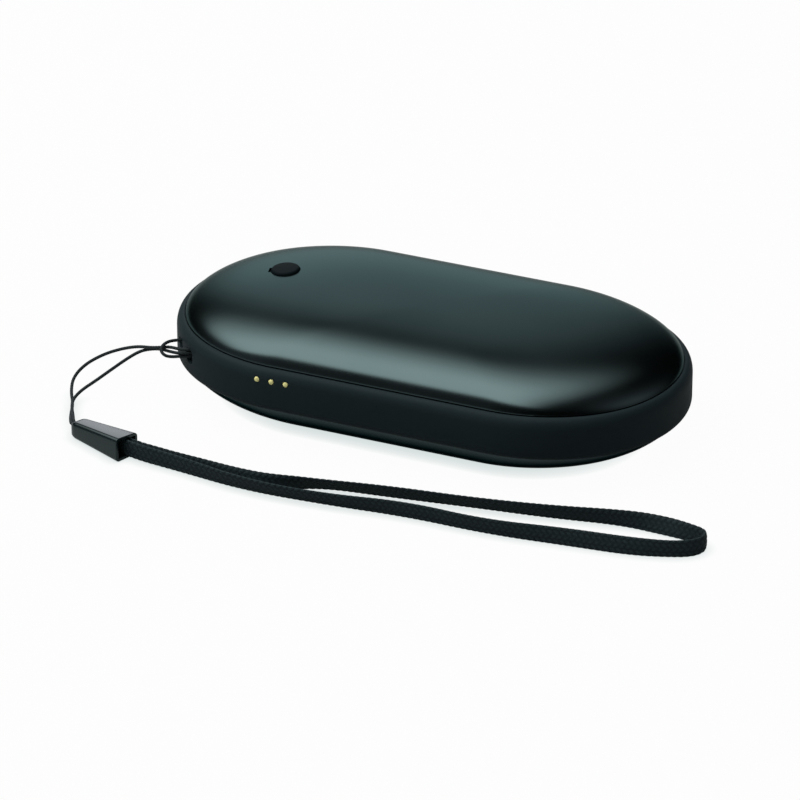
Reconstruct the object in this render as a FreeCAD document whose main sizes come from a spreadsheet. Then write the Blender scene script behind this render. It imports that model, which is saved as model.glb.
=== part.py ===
import FreeCAD, Part
import math
import os
import Sketcher

# A rechargeable hand warmer: a flat pebble with two black metal covers glued into a plastic side band,
# heater films, a pouch cell and a board inside, one push button on top, three charging contacts in the
# band, and a wrist strap hitched to a bar moulded into the band.
# Millimetres. +Z is up, +X runs along the pebble away from the strap, and the origin is where it rests.

# Driving dimensions.
SIZES = {
    # pebble outline and band
    "body_length": 104.0,
    "body_width": 55.0,
    "end_length": 29.6,
    "end_blend": 56.0,
    "band_bottom": 6.3,
    "band_height": 9.1,
    "band_round": 1.4,
    "band_wall": 3.4,
    "lip_width": 1.2,
    "lip_height": 1.7,
    # covers and their seals
    "cover_inset": 1.65,
    "cover_fit": 0.1,
    "cover_wall": 1.0,
    "skirt_depth": 0.9,
    "seal_thickness": 0.2,
    "seal_width": 1.5,
    "top_rise": 5.8,
    "top_crown": 0.4,
    "bottom_rise": 6.3,
    "bottom_crown": 0.0,
    "flank_power": 5.9,
    "flank_root": 1.6,
    # button and its switch
    "button_from_end": 19.3,
    "button_side": 2.5,
    "button_diameter": 6.0,
    "button_fit": 0.12,
    "button_proud": 0.6,
    "button_dome": 0.45,
    "button_collar": 0.8,
    "button_collar_reach": 0.8,
    "button_collar_gap": 0.75,
    "button_stem": 3.0,
    "key_width": 0.8,
    "key_reach": 0.55,
    "key_fit": 0.2,
    "key_drop": 0.7,
    "switch_side": 6.0,
    "switch_height": 3.5,
    "switch_bore_depth": 1.6,
    "plunger_diameter": 3.2,
    "plunger_fit": 0.1,
    "plunger_drop": 0.8,
    "plunger_proud": 1.1,
    # charging contacts
    "contact_from_end": 30.2,
    "contact_level": 13.2,
    "contact_pitch": 3.0,
    "contact_diameter": 1.2,
    "contact_fit": 0.04,
    "contact_length": 7.0,
    "contact_dimple": 0.36,
    "contact_block_length": 8.4,
    "contact_block_depth": 3.2,
    "contact_block_height": 1.5,
    # lanyard bar and the channel behind it
    "lanyard_angle": 44.4,
    "lanyard_level": 11.3,
    "lanyard_slot": 2.6,
    "lanyard_slot_height": 3.5,
    "lanyard_bar": 2.2,
    "lanyard_bar_depth": 1.2,
    "lanyard_channel_depth": 2.7,
    # inner tray and board
    "tray_gap": 0.3,
    "tray_wall": 1.2,
    "well_depth": 3.6,
    "well_wall": 1.0,
    "board_length": 31.0,
    "board_gap": 0.6,
    "board_thickness": 1.2,
    "post_diameter": 4.2,
    "screw_inset": 7.5,
    "screw_side_room": 9.1,
    "screw_shank": 1.6,
    "screw_head": 2.8,
    "screw_head_height": 1.0,
    "screw_bite": 1.9,
    "screw_fit": 0.1,
    # cell
    "cell_side_room": 7.1,
    "well_gap": 0.74,
    "cell_height": 10.0,
    "cell_round": 2.0,
    "cell_gap": 0.3,
    "guard_length": 3.0,
    "guard_side_gap": 4.0,
    "guard_thickness": 1.0,
    "guard_level": 5.0,
    "lead_diameter": 1.0,
    "lead_spread": 8.0,
    "lead_rise": 1.8,
    "lead_reach": 3.0,
    # heaters, foams and sensors
    "heater_thickness": 0.3,
    "film_gap": 1.5,
    "foam_margin": 2.0,
    "foam_end_gap": 3.71,
    "foam_side_gap": 2.91,
    "heater_lead_diameter": 0.9,
    "heater_lead_spread": 2.4,
    "heater_lead_edge": 1.66,
    "heater_lead_inset": 3.0,
    "lead_slot_length": 3.0,
    "lead_slot_width": 6.0,
    "sensor_length": 1.6,
    "sensor_width": 0.8,
    # board parts
    "controller_side": 5.0,
    "controller_height": 0.9,
    "controller_room": 2.6,
    "charger_length": 4.9,
    "charger_width": 3.9,
    "charger_height": 1.5,
    "charger_room": 3.7,
    "inductor_side": 5.2,
    "inductor_height": 2.8,
    "capacitor_length": 2.0,
    "capacitor_width": 1.25,
    "capacitor_pitch": 2.4,
    "capacitor_gap": 0.8,
    "capacitor_side_room": 7.9,
    # wrist strap
    "cord_diameter": 0.6,
    "strap_width": 3.6,
    "strap_thickness": 0.8,
    "strap_floor": 0.45,
    "connector_length": 13.85,
    "connector_nose_width": 3.4,
    "connector_nose_height": 3.1,
    "connector_mouth_width": 5.2,
    "connector_mouth_height": 4.75,
    "connector_round": 0.6,
    "connector_depth": 2.6,
    "connector_wall": 0.6,
    "connector_side_gap": 0.1,
    "strap_lane_gap": 0.2,
    "strap_lane_shift": 0.5,
    "strap_lead": 1.75,
    "cord_mouth_width": 2.0,
    "cord_mouth_height": 1.0,
    "cord_mouth_depth": 2.0,
    "cord_mouth_level": 1.9,
    "cord_gap": 0.1,
    "cord_nose_gap": 0.24,
    "cord_lead": 1.6,
    "cord_nose_lead": 3.2,
}

# Shares of the outline at which a cover's sections are taken, from its rim to its crown.
TOP_SHARES = (1.0, 0.96, 0.88, 0.78, 0.67, 0.56, 0.45, 0.34, 0.23)
BOTTOM_SHARES = (1.0, 0.96, 0.88, 0.78, 0.67, 0.56)
INNER_SHARES = (0.95, 0.89, 0.80, 0.70, 0.60)
LAND_SHARE = 0.60
HEATER_SHARE = 0.57

# Free parts of the cords' routes, as they lie in front of the pebble; their ends follow from what they join.
UPPER_STRAND = (
    (-44.15, -20.58, 12.45),
    (-46.85, -19.90, 12.20),
    (-48.61, -20.26, 11.90),
    (-50.87, -20.09, 11.30),
    (-54.45, -18.55, 10.30),
    (-58.12, -18.19, 9.00),
    (-61.87, -18.62, 7.00),
    (-65.15, -19.61, 4.60),
    (-66.42, -21.99, 2.60),
    (-65.79, -25.50, 1.30),
    (-64.18, -29.08, 0.80),
    (-62.66, -33.22, 1.00),
    (-60.35, -37.35, 1.70),
)
LOWER_STRAND = (
    (-44.15, -20.83, 11.70),
    (-46.61, -20.43, 11.45),
    (-48.93, -19.64, 11.20),
    (-51.33, -19.17, 10.50),
    (-53.91, -18.80, 9.35),
    (-55.99, -20.37, 8.00),
    (-58.85, -21.73, 5.60),
    (-61.50, -23.51, 3.40),
    (-63.58, -25.52, 1.90),
    (-63.86, -28.65, 1.30),
    (-62.36, -31.98, 1.35),
    (-60.60, -34.96, 1.60),
    (-59.33, -37.32, 1.90),
)
HITCH = (
    (-46.44, -17.17, 12.50),
    (-47.54, -18.67, 12.75),
    (-47.97, -20.66, 12.80),
    (-47.77, -22.26, 12.30),
    (-46.70, -22.67, 11.60),
    (-45.62, -21.83, 11.15),
    (-44.18, -20.59, 11.02),
)
STRAP = (
    (-33.50, -45.20),
    (-18.00, -45.40),
    (-2.00, -45.10),
    (14.00, -44.40),
    (30.00, -43.60),
    (45.50, -42.40),
    (57.00, -41.10),
    (64.40, -39.30),
    (68.40, -36.90),
    (69.90, -34.60),
    (69.20, -32.70),
    (65.80, -32.00),
    (60.40, -31.30),
    (52.50, -31.70),
    (39.00, -33.60),
    (24.00, -35.60),
    (8.50, -37.90),
    (-6.50, -40.40),
    (-21.00, -42.40),
    (-34.00, -43.50),
)
# The strap's connector: middle of its mouth, and its heading in the floor plane.
CONNECTOR_MOUTH = (-44.49, -44.12)
CONNECTOR_HEADING = -20.5

# Share of the shorter run beside it that each bend of a cord may take up.
ARC_SHARE = 0.45


doc = FreeCAD.newDocument("hand_warmer")
sheet = doc.addObject("Spreadsheet::Sheet", "Sizes")
for row, (alias, value) in enumerate(SIZES.items(), 1):
    sheet.set("A%d" % row, alias.replace("_", " "))
    sheet.set("B%d" % row, str(value))
    sheet.setAlias("B%d" % row, alias)
doc.recompute()


def size(*names):
    """Sum of sheet values; a name with a leading minus is taken off."""
    total = 0.0
    for name in names:
        sign = -1.0 if name.startswith("-") else 1.0
        total += sign * float(sheet.get(name.lstrip("-")))
    return total


def cells(*names):
    """The same sum as an expression on the sheet."""
    text = "0"
    for name in names:
        sign = "-" if name.startswith("-") else "+"
        text += sign + "Sizes." + name.lstrip("-")
    return "(" + text + ")"


# Heights and places that several pieces share, as expressions on the sheet.
SEAM_TOP = cells("band_bottom", "band_height")
SEAM_LOW = cells("band_bottom")
LEDGE_TOP = cells("band_bottom", "band_height", "-skirt_depth", "-seal_thickness")
LEDGE_LOW = cells("band_bottom", "skirt_depth", "seal_thickness")
LIP_TOP = cells("band_bottom", "skirt_depth", "seal_thickness", "lip_height")
TRAY_TOP = cells("band_bottom", "skirt_depth", "seal_thickness", "lip_height", "tray_wall")
CELL_LOW = cells("band_bottom", "skirt_depth", "seal_thickness", "lip_height", "tray_wall", "-well_depth")
BOARD_TOP = "(Sizes.contact_level-Sizes.contact_diameter/2)"
BOARD_LOW = "(Sizes.contact_level-Sizes.contact_diameter/2-Sizes.board_thickness)"
BUTTON_X = "(-Sizes.body_length/2+Sizes.button_from_end)"
BUTTON_Y = "Sizes.button_side"
CONTACT_X = "(-Sizes.body_length/2+Sizes.contact_from_end)"
BOARD_START = "(-Sizes.body_length/2+Sizes.band_wall+Sizes.board_gap)"
BOARD_END = "(-Sizes.body_length/2+Sizes.band_wall+Sizes.board_gap+Sizes.board_length)"
WELL_START = "(%s+Sizes.board_gap)" % BOARD_END
GUARD_START = "(%s+Sizes.well_wall+Sizes.cell_gap)" % WELL_START
CELL_START = "(%s+Sizes.guard_length)" % GUARD_START
CELL_WIDTH = "(Sizes.body_width-2*Sizes.band_wall-2*Sizes.cell_side_room)"
WELL_WIDTH = "(%s+2*Sizes.cell_gap+2*Sizes.well_wall)" % CELL_WIDTH
TIP_CENTRE = "(Sizes.body_length/2-Sizes.end_length+(Sizes.end_length-Sizes.body_width/2)" \
    "/(cos(Sizes.end_blend)+sin(Sizes.end_blend)-1)*cos(Sizes.end_blend))"
TIP_RADIUS = "(Sizes.body_length/2-%s)" % TIP_CENTRE
# The well ends where its corners come near the round end of the band's lip.
WELL_REACH = "(%s-Sizes.band_wall-Sizes.lip_width-Sizes.well_gap)" % TIP_RADIUS
WELL_END = "(%s+sqrt(%s^2-(%s/2)^2))" % (TIP_CENTRE, WELL_REACH, WELL_WIDTH)
CELL_END = "(%s-Sizes.well_wall-Sizes.cell_gap)" % WELL_END
CELL_LENGTH = "(%s-%s)" % (CELL_END, CELL_START)
SCREW_SIDE = "(Sizes.body_width/2-Sizes.band_wall-Sizes.screw_side_room)"
INNER_HALF_LENGTH = "(Sizes.body_length/2-Sizes.cover_inset-Sizes.cover_wall)"
INNER_HALF_WIDTH = "(Sizes.body_width/2-Sizes.cover_inset-Sizes.cover_wall)"
LEAD_SIDE = "(%s*%s-Sizes.heater_lead_edge)" % (HEATER_SHARE, INNER_HALF_WIDTH)


def rise(share, side):
    """Height of a cover above its seam where its outline has shrunk to a share."""
    flank = "Sizes.%s_rise*(1-%s^Sizes.flank_power)^(1/Sizes.flank_root)" % (side, share)
    return "(%s+Sizes.%s_crown*(1-%s^2))" % (flank, side, share)


LAND_TOP = "(%s+%s-Sizes.cover_wall)" % (SEAM_TOP, rise(LAND_SHARE, "top"))
LAND_LOW = "(%s-%s+Sizes.cover_wall)" % (SEAM_LOW, rise(LAND_SHARE, "bottom"))


def new_body(label):
    body = doc.addObject("PartDesign::Body", label)
    body.Label = label
    return body


def new_sketch(body, name, plane="XY_Plane", x="0", y="0", z="0", turn=None):
    """A sketch on one of its body's own planes, moved and turned by expressions."""
    support = [face for face in body.Origin.OriginFeatures if face.Role == plane][0]
    sketch = body.newObject("Sketcher::SketchObject", name)
    sketch.AttachmentSupport = [(support, "")]
    sketch.MapMode = "FlatFace"
    sketch.setExpression("AttachmentOffset.Base.x", x)
    sketch.setExpression("AttachmentOffset.Base.y", y)
    sketch.setExpression("AttachmentOffset.Base.z", z)
    if turn:
        sketch.setExpression("AttachmentOffset.Rotation.Angle", turn)
    return sketch


def bind(sketch, constraint, expression):
    """Add a dimension and tie it to the sheet."""
    index = sketch.addConstraint(constraint)
    sketch.setExpression("Constraints[%d]" % index, expression)


def end_shape():
    """Radius of the pebble's tip, and how much larger its shoulders' radius is."""
    angle = math.radians(size("end_blend"))
    step = (size("end_length") - size("body_width") / 2) / (math.cos(angle) + math.sin(angle) - 1)
    return size("end_length") - step * math.cos(angle), step


def outline(sketch, inset=(), share=1.0):
    """The pebble's outline: two straight sides, and ends of three tangent arcs."""
    trim = size(*inset) if inset else 0.0
    cut = cells(*inset) if inset else "0"
    angle = math.radians(size("end_blend"))
    end, step = end_shape()
    half_width = share * (size("body_width") / 2 - trim)
    straight = share * (size("body_length") / 2 - size("end_length"))
    tip_radius = share * (end - trim)
    side_radius = share * (end + step - trim)
    tip_centre = straight + share * step * math.cos(angle)
    side_centre = half_width - side_radius
    up = FreeCAD.Vector(0, 0, 1)

    def arc(x, y, radius, start, stop):
        circle = Part.Circle(FreeCAD.Vector(x, y, 0), up, radius)
        return Part.ArcOfCircle(circle, start, stop)

    def line(x0, y0, x1, y1):
        return Part.LineSegment(FreeCAD.Vector(x0, y0, 0), FreeCAD.Vector(x1, y1, 0))

    quarter = math.pi / 2
    half = math.pi
    geometry = [
        line(straight, half_width, -straight, half_width),
        arc(-straight, side_centre, side_radius, quarter, half - angle),
        arc(-tip_centre, 0, tip_radius, half - angle, half + angle),
        arc(-straight, -side_centre, side_radius, half + angle, half + quarter),
        line(-straight, -half_width, straight, -half_width),
        arc(straight, -side_centre, side_radius, half + quarter, 2 * half - angle),
        arc(tip_centre, 0, tip_radius, -angle, angle),
        arc(straight, side_centre, side_radius, angle, quarter),
    ]
    first = sketch.GeometryCount
    sketch.addGeometry(geometry, False)
    count = len(geometry)
    for index in range(count):
        after = first + (index + 1) % count
        sketch.addConstraint(Sketcher.Constraint("Tangent", first + index, 2, after, 1))
    top, low = first, first + 4
    sketch.addConstraint(Sketcher.Constraint("Symmetric", top, 1, top, 2, -2))
    sketch.addConstraint(Sketcher.Constraint("Symmetric", low, 1, low, 2, -2))
    for index in (3, 5, 7):
        sketch.addConstraint(Sketcher.Constraint("Equal", first + 1, first + index))
    sketch.addConstraint(Sketcher.Constraint("Equal", first + 2, first + 6))
    turn = "Sizes.end_blend"
    step_text = "((Sizes.end_length-Sizes.body_width/2)/(cos(%s)+sin(%s)-1))" % (turn, turn)
    end_text = "(Sizes.end_length-%s*cos(%s))" % (step_text, turn)
    width_text = "%s*(Sizes.body_width/2-%s)" % (share, cut)
    straight_text = "%s*(Sizes.body_length/2-Sizes.end_length)" % share
    bind(sketch, Sketcher.Constraint("DistanceY", -1, 1, top, 1, half_width), width_text)
    bind(sketch, Sketcher.Constraint("DistanceY", low, 1, -1, 1, half_width), width_text)
    bind(sketch, Sketcher.Constraint("DistanceX", -1, 1, top, 1, straight), straight_text)
    bind(sketch, Sketcher.Constraint("DistanceX", -1, 1, low, 2, straight), straight_text)
    bind(sketch, Sketcher.Constraint("Radius", first + 1, side_radius),
         "%s*(%s+%s-%s)" % (share, end_text, step_text, cut))
    bind(sketch, Sketcher.Constraint("Radius", first + 2, tip_radius), "%s*(%s-%s)" % (share, end_text, cut))


def rectangle(sketch, length, width):
    """A rectangle about the sketch's own origin."""
    corners = [FreeCAD.Vector(x, y, 0) for x, y in ((-5, -5), (5, -5), (5, 5), (-5, 5))]
    first = sketch.GeometryCount
    sketch.addGeometry([Part.LineSegment(corners[i], corners[(i + 1) % 4]) for i in range(4)], False)
    for index in range(4):
        after = first + (index + 1) % 4
        sketch.addConstraint(Sketcher.Constraint("Coincident", first + index, 2, after, 1))
    for index in (0, 2):
        sketch.addConstraint(Sketcher.Constraint("Horizontal", first + index))
        sketch.addConstraint(Sketcher.Constraint("Vertical", first + index + 1))
    sketch.addConstraint(Sketcher.Constraint("Symmetric", first, 1, first + 1, 2, -1, 1))
    bind(sketch, Sketcher.Constraint("DistanceX", first, 1, first, 2, 10.0), length)
    bind(sketch, Sketcher.Constraint("DistanceY", first + 1, 1, first + 1, 2, 10.0), width)


def circle(sketch, diameter, x=None):
    """A circle at the sketch's origin, or beside it along the sketch's X axis."""
    start = FreeCAD.Vector(0, 0, 0) if x is None else FreeCAD.Vector(math.copysign(3.0, x[1]), 0, 0)
    index = sketch.addGeometry(Part.Circle(start, FreeCAD.Vector(0, 0, 1), 1.0), False)
    if x is None:
        sketch.addConstraint(Sketcher.Constraint("Coincident", index, 3, -1, 1))
    else:
        ends = (-1, 1, index, 3) if x[1] > 0 else (index, 3, -1, 1)
        sketch.addConstraint(Sketcher.Constraint("PointOnObject", index, 3, -1))
        bind(sketch, Sketcher.Constraint("DistanceX", *ends, 3.0), x[0])
    bind(sketch, Sketcher.Constraint("Diameter", index, 2.0), diameter)


def pad(body, sketch, name, length, reverse=False):
    feature = body.newObject("PartDesign::Pad", name)
    feature.Profile = sketch
    feature.setExpression("Length", length)
    feature.Reversed = reverse
    doc.recompute()
    return feature


def pocket(body, sketch, name, length, reverse=False, both=False):
    """A cut that has to take something away."""
    before = body.Shape.Volume
    feature = body.newObject("PartDesign::Pocket", name)
    feature.Profile = sketch
    feature.setExpression("Length", length)
    feature.Reversed = reverse
    if both:
        feature.SideType = "Symmetric"
    doc.recompute()
    if not body.Shape.Volume < before - 1e-6:
        raise RuntimeError("%s in %s cuts nothing" % (name, body.Label))
    return feature


def fillet(body, base, name, edges, radius):
    feature = body.newObject("PartDesign::Fillet", name)
    feature.Base = (base, edges)
    feature.setExpression("Radius", radius)
    doc.recompute()
    return feature


def loft(body, kind, name, sections):
    feature = body.newObject(kind, name)
    feature.Profile = sections[0]
    feature.Sections = sections[1:]
    doc.recompute()
    return feature


def box(label, x, y, z, length, width, height):
    """A block whose low corner and sides are expressions."""
    block = doc.addObject("Part::Box", label)
    block.Label = label
    for prop, text in (("Length", length), ("Width", width), ("Height", height)):
        block.setExpression(prop, text)
    for axis, text in (("x", x), ("y", y), ("z", z)):
        block.setExpression("Placement.Base." + axis, text)
    return block


LYING = FreeCAD.Placement(FreeCAD.Vector(), FreeCAD.Rotation(FreeCAD.Vector(1, 0, 0), -90))


def rod(label, x, y, z, diameter, height, along_y=False):
    """A cylinder that stands on its low end, or lies along +Y from it."""
    cylinder = doc.addObject("Part::Cylinder", label)
    cylinder.Label = label
    if along_y:
        cylinder.Placement = LYING
    cylinder.setExpression("Radius", "(%s)/2" % diameter)
    cylinder.setExpression("Height", height)
    for axis, text in (("x", x), ("y", y), ("z", z)):
        cylinder.setExpression("Placement.Base." + axis, text)
    return cylinder


def cut(label, base, tool):
    result = doc.addObject("Part::Cut", label)
    result.Label = label
    result.Base = base
    result.Tool = tool
    return result


def fuse(label, shapes):
    result = doc.addObject("Part::MultiFuse", label)
    result.Label = label
    result.Shapes = shapes
    return result


def group(label, shapes):
    """Like pieces that share one node as separate solids."""
    result = doc.addObject("Part::Compound", label)
    result.Label = label
    result.Links = shapes
    return result


def level_edges(shape, heights):
    """Names of the edges that lie flat at one of the heights."""
    names = []
    for index, edge in enumerate(shape.Edges, 1):
        box_of_edge = edge.BoundBox
        flat = box_of_edge.ZLength < 1e-6
        if flat and any(abs(box_of_edge.ZMin - height) < 1e-4 for height in heights):
            names.append("Edge%d" % index)
    return names


# Side band: a moulded plastic ring with soft outer edges, a ledge for each cover and a lip for the tray.
side_band = new_body("side_band")
ring = new_sketch(side_band, "band_outline", z=SEAM_LOW)
outline(ring)
band_pad = pad(side_band, ring, "band_pad", "Sizes.band_height")
rims = level_edges(band_pad.Shape, (size("band_bottom"), size("band_bottom", "band_height")))
fillet(side_band, band_pad, "band_soft_edges", rims, "Sizes.band_round")
opening = new_sketch(side_band, "band_opening", z=SEAM_TOP)
outline(opening, ("band_wall",))
pocket(side_band, opening, "band_room", "%s-%s" % (SEAM_TOP, LIP_TOP))
lip = new_sketch(side_band, "band_lip", z=SEAM_TOP)
outline(lip, ("band_wall", "lip_width"))
pocket(side_band, lip, "band_through", "Sizes.band_height")
top_rebate = new_sketch(side_band, "top_rebate_outline", z=SEAM_TOP)
outline(top_rebate, ("cover_inset", "-cover_fit"))
pocket(side_band, top_rebate, "top_rebate", "%s-%s" % (SEAM_TOP, LEDGE_TOP))
low_rebate = new_sketch(side_band, "low_rebate_outline", z=SEAM_LOW)
outline(low_rebate, ("cover_inset", "-cover_fit"))
pocket(side_band, low_rebate, "low_rebate", "%s-%s" % (LEDGE_LOW, SEAM_LOW), reverse=True)

# Three round holes in the band's front wall for the charging contacts.
contact_holes = new_sketch(side_band, "contact_hole_circles", plane="XZ_Plane", x=CONTACT_X,
                           y="Sizes.contact_level", z="Sizes.body_width/2")
hole_diameter = "Sizes.contact_diameter+2*Sizes.contact_fit"
circle(contact_holes, hole_diameter)
circle(contact_holes, hole_diameter, ("Sizes.contact_pitch", 1))
circle(contact_holes, hole_diameter, ("Sizes.contact_pitch", -1))
pocket(side_band, contact_holes, "contact_holes", "2*Sizes.band_wall")

# Lanyard bar: two slots in the band's corner, joined behind a bar that the cord is hitched round.
channel = new_sketch(side_band, "lanyard_channel_outline",
                     x="-%s-%s*cos(Sizes.lanyard_angle)" % (TIP_CENTRE, TIP_RADIUS),
                     y="-%s*sin(Sizes.lanyard_angle)" % TIP_RADIUS,
                     z="Sizes.lanyard_level", turn="180+Sizes.lanyard_angle")
rectangle(channel, "2*Sizes.lanyard_channel_depth", "Sizes.lanyard_bar+2*Sizes.lanyard_slot")
rectangle(channel, "2*Sizes.lanyard_bar_depth", "Sizes.lanyard_bar")
pocket(side_band, channel, "lanyard_channel", "Sizes.lanyard_slot_height", both=True)


def cover(label, side, seam, sign, shares):
    """A drawn metal cover: a lofted shell whose skirt stands in the band's rebate."""
    body = new_body(label)
    inner = ("cover_inset", "cover_wall")
    sections = []
    for index, share in enumerate(shares):
        height = "Sizes.bottom_rise" if share == BOTTOM_SHARES[-1] and side == "bottom" else rise(share, side)
        section = new_sketch(body, "%s_section_%d" % (label, index), z="%s%s%s" % (seam, sign, height))
        outline(section, ("cover_inset",), share)
        sections.append(section)
    loft(body, "PartDesign::AdditiveLoft", label + "_crown", sections)
    skirt = new_sketch(body, label + "_skirt_outline", z=seam)
    outline(skirt, ("cover_inset",))
    pad(body, skirt, label + "_skirt", "Sizes.skirt_depth", reverse=(sign == "+"))
    hollow = [new_sketch(body, label + "_hollow_rim", z="%s%s(-Sizes.skirt_depth)" % (seam, sign))]
    outline(hollow[0], inner)
    for index, share in enumerate(INNER_SHARES):
        height = "%s%s(%s-Sizes.cover_wall)" % (seam, sign, rise(share, side))
        section = new_sketch(body, "%s_hollow_%d" % (label, index), z=height)
        outline(section, inner, share)
        hollow.append(section)
    before = body.Shape.Volume
    loft(body, "PartDesign::SubtractiveLoft", label + "_hollow", hollow)
    if not body.Shape.Volume < 0.5 * before:
        raise RuntimeError("the hollow of %s is not cut" % label)
    return body


top_cover = cover("top_cover", "top", SEAM_TOP, "+", TOP_SHARES)
hole = new_sketch(top_cover, "button_hole_outline", x=BUTTON_X, y=BUTTON_Y, z=LAND_TOP)
circle(hole, "Sizes.button_diameter+2*Sizes.button_fit")
pocket(top_cover, hole, "button_hole", "4*Sizes.cover_wall", both=True)
keyway = new_sketch(top_cover, "keyway_outline", y=BUTTON_Y, z=LAND_TOP,
                    x="%s-Sizes.button_diameter/2-Sizes.button_fit" % BUTTON_X)
rectangle(keyway, "2*(Sizes.key_reach+Sizes.key_fit)", "Sizes.key_width+2*Sizes.key_fit")
pocket(top_cover, keyway, "button_keyway", "4*Sizes.cover_wall", both=True)

cover("bottom_cover", "bottom", SEAM_LOW, "-", BOTTOM_SHARES)


def seal(label, height):
    """A ring of sealing tape between a cover's skirt and its ledge."""
    body = new_body(label)
    sketch = new_sketch(body, label + "_outline", z=height)
    outline(sketch, ("cover_inset",))
    outline(sketch, ("cover_inset", "seal_width"))
    pad(body, sketch, label + "_pad", "Sizes.seal_thickness")
    return body


seal("top_seal", LEDGE_TOP)
seal("bottom_seal", "%s-Sizes.seal_thickness" % LEDGE_LOW)

# Inner tray: a moulded plate on the band's lip, with a well for the cell, posts for the board and a slot
# for the lower heater's leads.
tray = new_body("inner_tray")
plate = new_sketch(tray, "tray_outline", z=LIP_TOP)
outline(plate, ("band_wall", "tray_gap"))
pad(tray, plate, "tray_plate", "Sizes.tray_wall")
well_length = "(%s-%s)" % (WELL_END, WELL_START)
well_middle = "(%s+%s/2)" % (WELL_START, well_length)
well = new_sketch(tray, "well_outline", x=well_middle, z="%s-Sizes.tray_wall" % CELL_LOW)
rectangle(well, well_length, WELL_WIDTH)
pad(tray, well, "well_block", "Sizes.well_depth")
room = new_sketch(tray, "well_room_outline", x=well_middle, z=TRAY_TOP)
rectangle(room, "%s-2*Sizes.well_wall" % well_length, "%s-2*Sizes.well_wall" % WELL_WIDTH)
pocket(tray, room, "well_room", "Sizes.well_depth")
slot_x = "(%s-Sizes.heater_lead_inset)" % BOARD_END
slot = new_sketch(tray, "lead_slot_outline", x=slot_x, y=LEAD_SIDE, z=TRAY_TOP)
rectangle(slot, "Sizes.lead_slot_length", "Sizes.lead_slot_width")
pocket(tray, slot, "lead_slot", "Sizes.tray_wall")

# Board screws stand at three posts: two at the straight edge and one at the round end.
SCREWS = (
    ("near", "(%s-Sizes.screw_inset)" % BOARD_END, "-" + SCREW_SIDE),
    ("far", "(%s-Sizes.screw_inset)" % BOARD_END, SCREW_SIDE),
    ("end", "(%s+Sizes.screw_inset)" % BOARD_START, "0"),
)
for name, x, y in SCREWS:
    post = new_sketch(tray, "post_" + name, x=x, y=y, z=TRAY_TOP)
    circle(post, "Sizes.post_diameter")
    pad(tray, post, "post_pad_" + name, "%s-%s" % (BOARD_LOW, TRAY_TOP))
for name, x, y in SCREWS:
    pilot = new_sketch(tray, "pilot_" + name, x=x, y=y, z=BOARD_LOW)
    circle(pilot, "Sizes.screw_shank")
    pocket(tray, pilot, "pilot_hole_" + name, "Sizes.screw_bite")

# Main board: a thin plate with the pebble's end shape, screwed to the tray's posts.
board = new_body("main_board")
board_outline = new_sketch(board, "board_outline", z=BOARD_LOW)
outline(board_outline, ("band_wall", "board_gap"))
pad(board, board_outline, "board_plate", "Sizes.board_thickness")
spare = "(Sizes.body_length/2-%s)" % BOARD_END
rest = new_sketch(board, "board_cut", x="%s+%s/2" % (BOARD_END, spare), z=BOARD_TOP)
rectangle(rest, spare, "Sizes.body_width")
pocket(board, rest, "board_edge", "Sizes.board_thickness")
for name, x, y in SCREWS:
    drill = new_sketch(board, "drill_" + name, x=x, y=y, z=BOARD_TOP)
    circle(drill, "Sizes.screw_shank+2*Sizes.screw_fit")
    pocket(board, drill, "screw_hole_" + name, "Sizes.board_thickness")

screws = []
for name, x, y in SCREWS:
    shank_length = "Sizes.board_thickness+Sizes.screw_bite"
    shank = rod("shank_" + name, x, y, "%s-Sizes.screw_bite" % BOARD_LOW, "Sizes.screw_shank", shank_length)
    head = rod("head_" + name, x, y, BOARD_TOP, "Sizes.screw_head", "Sizes.screw_head_height")
    screws.append(fuse("screw_" + name, [shank, head]))
group("board_screws", screws)

# Pouch cell in the tray's well, with its protection strip across the tab end.
cell = new_body("battery_cell")
cell_sketch = new_sketch(cell, "cell_outline", x="%s+%s/2" % (CELL_START, CELL_LENGTH), z=CELL_LOW)
rectangle(cell_sketch, CELL_LENGTH, CELL_WIDTH)
cell_pad = pad(cell, cell_sketch, "cell_block", "Sizes.cell_height")
cell_box = cell_pad.Shape.BoundBox
long_edges = [name for name in level_edges(cell_pad.Shape, (cell_box.ZMin, cell_box.ZMax))
              if cell_pad.Shape.getElement(name).BoundBox.XLength > 1.0]
fillet(cell, cell_pad, "cell_soft_edges", long_edges, "Sizes.cell_round")
guard_low = "(%s+Sizes.guard_level)" % CELL_LOW
guard_top = "(%s+Sizes.guard_thickness)" % guard_low
box("protection_board", GUARD_START, "-(%s/2-Sizes.guard_side_gap)" % CELL_WIDTH, guard_low,
    "Sizes.guard_length", "%s-2*Sizes.guard_side_gap" % CELL_WIDTH, "Sizes.guard_thickness")

# Foam blocks press the heater films against the covers' flat inner lands.
foam_x = "(%s+Sizes.foam_margin)" % CELL_START
foam_length = "(%s*%s-Sizes.foam_end_gap-%s)" % (LAND_SHARE, INNER_HALF_LENGTH, foam_x)
foam_side = "(%s*%s-Sizes.foam_side_gap)" % (LAND_SHARE, INNER_HALF_WIDTH)
foam_top_low = "(%s+Sizes.cell_height)" % CELL_LOW
box("top_foam", foam_x, "-" + foam_side, foam_top_low, foam_length, "2*" + foam_side,
    "%s-Sizes.heater_thickness-%s" % (LAND_TOP, foam_top_low))
foam_low = "(%s+Sizes.heater_thickness)" % LAND_LOW
box("bottom_foam", foam_x, "-" + foam_side, foam_low, foam_length, "2*" + foam_side,
    "%s-Sizes.tray_wall-%s" % (CELL_LOW, foam_low))


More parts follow.
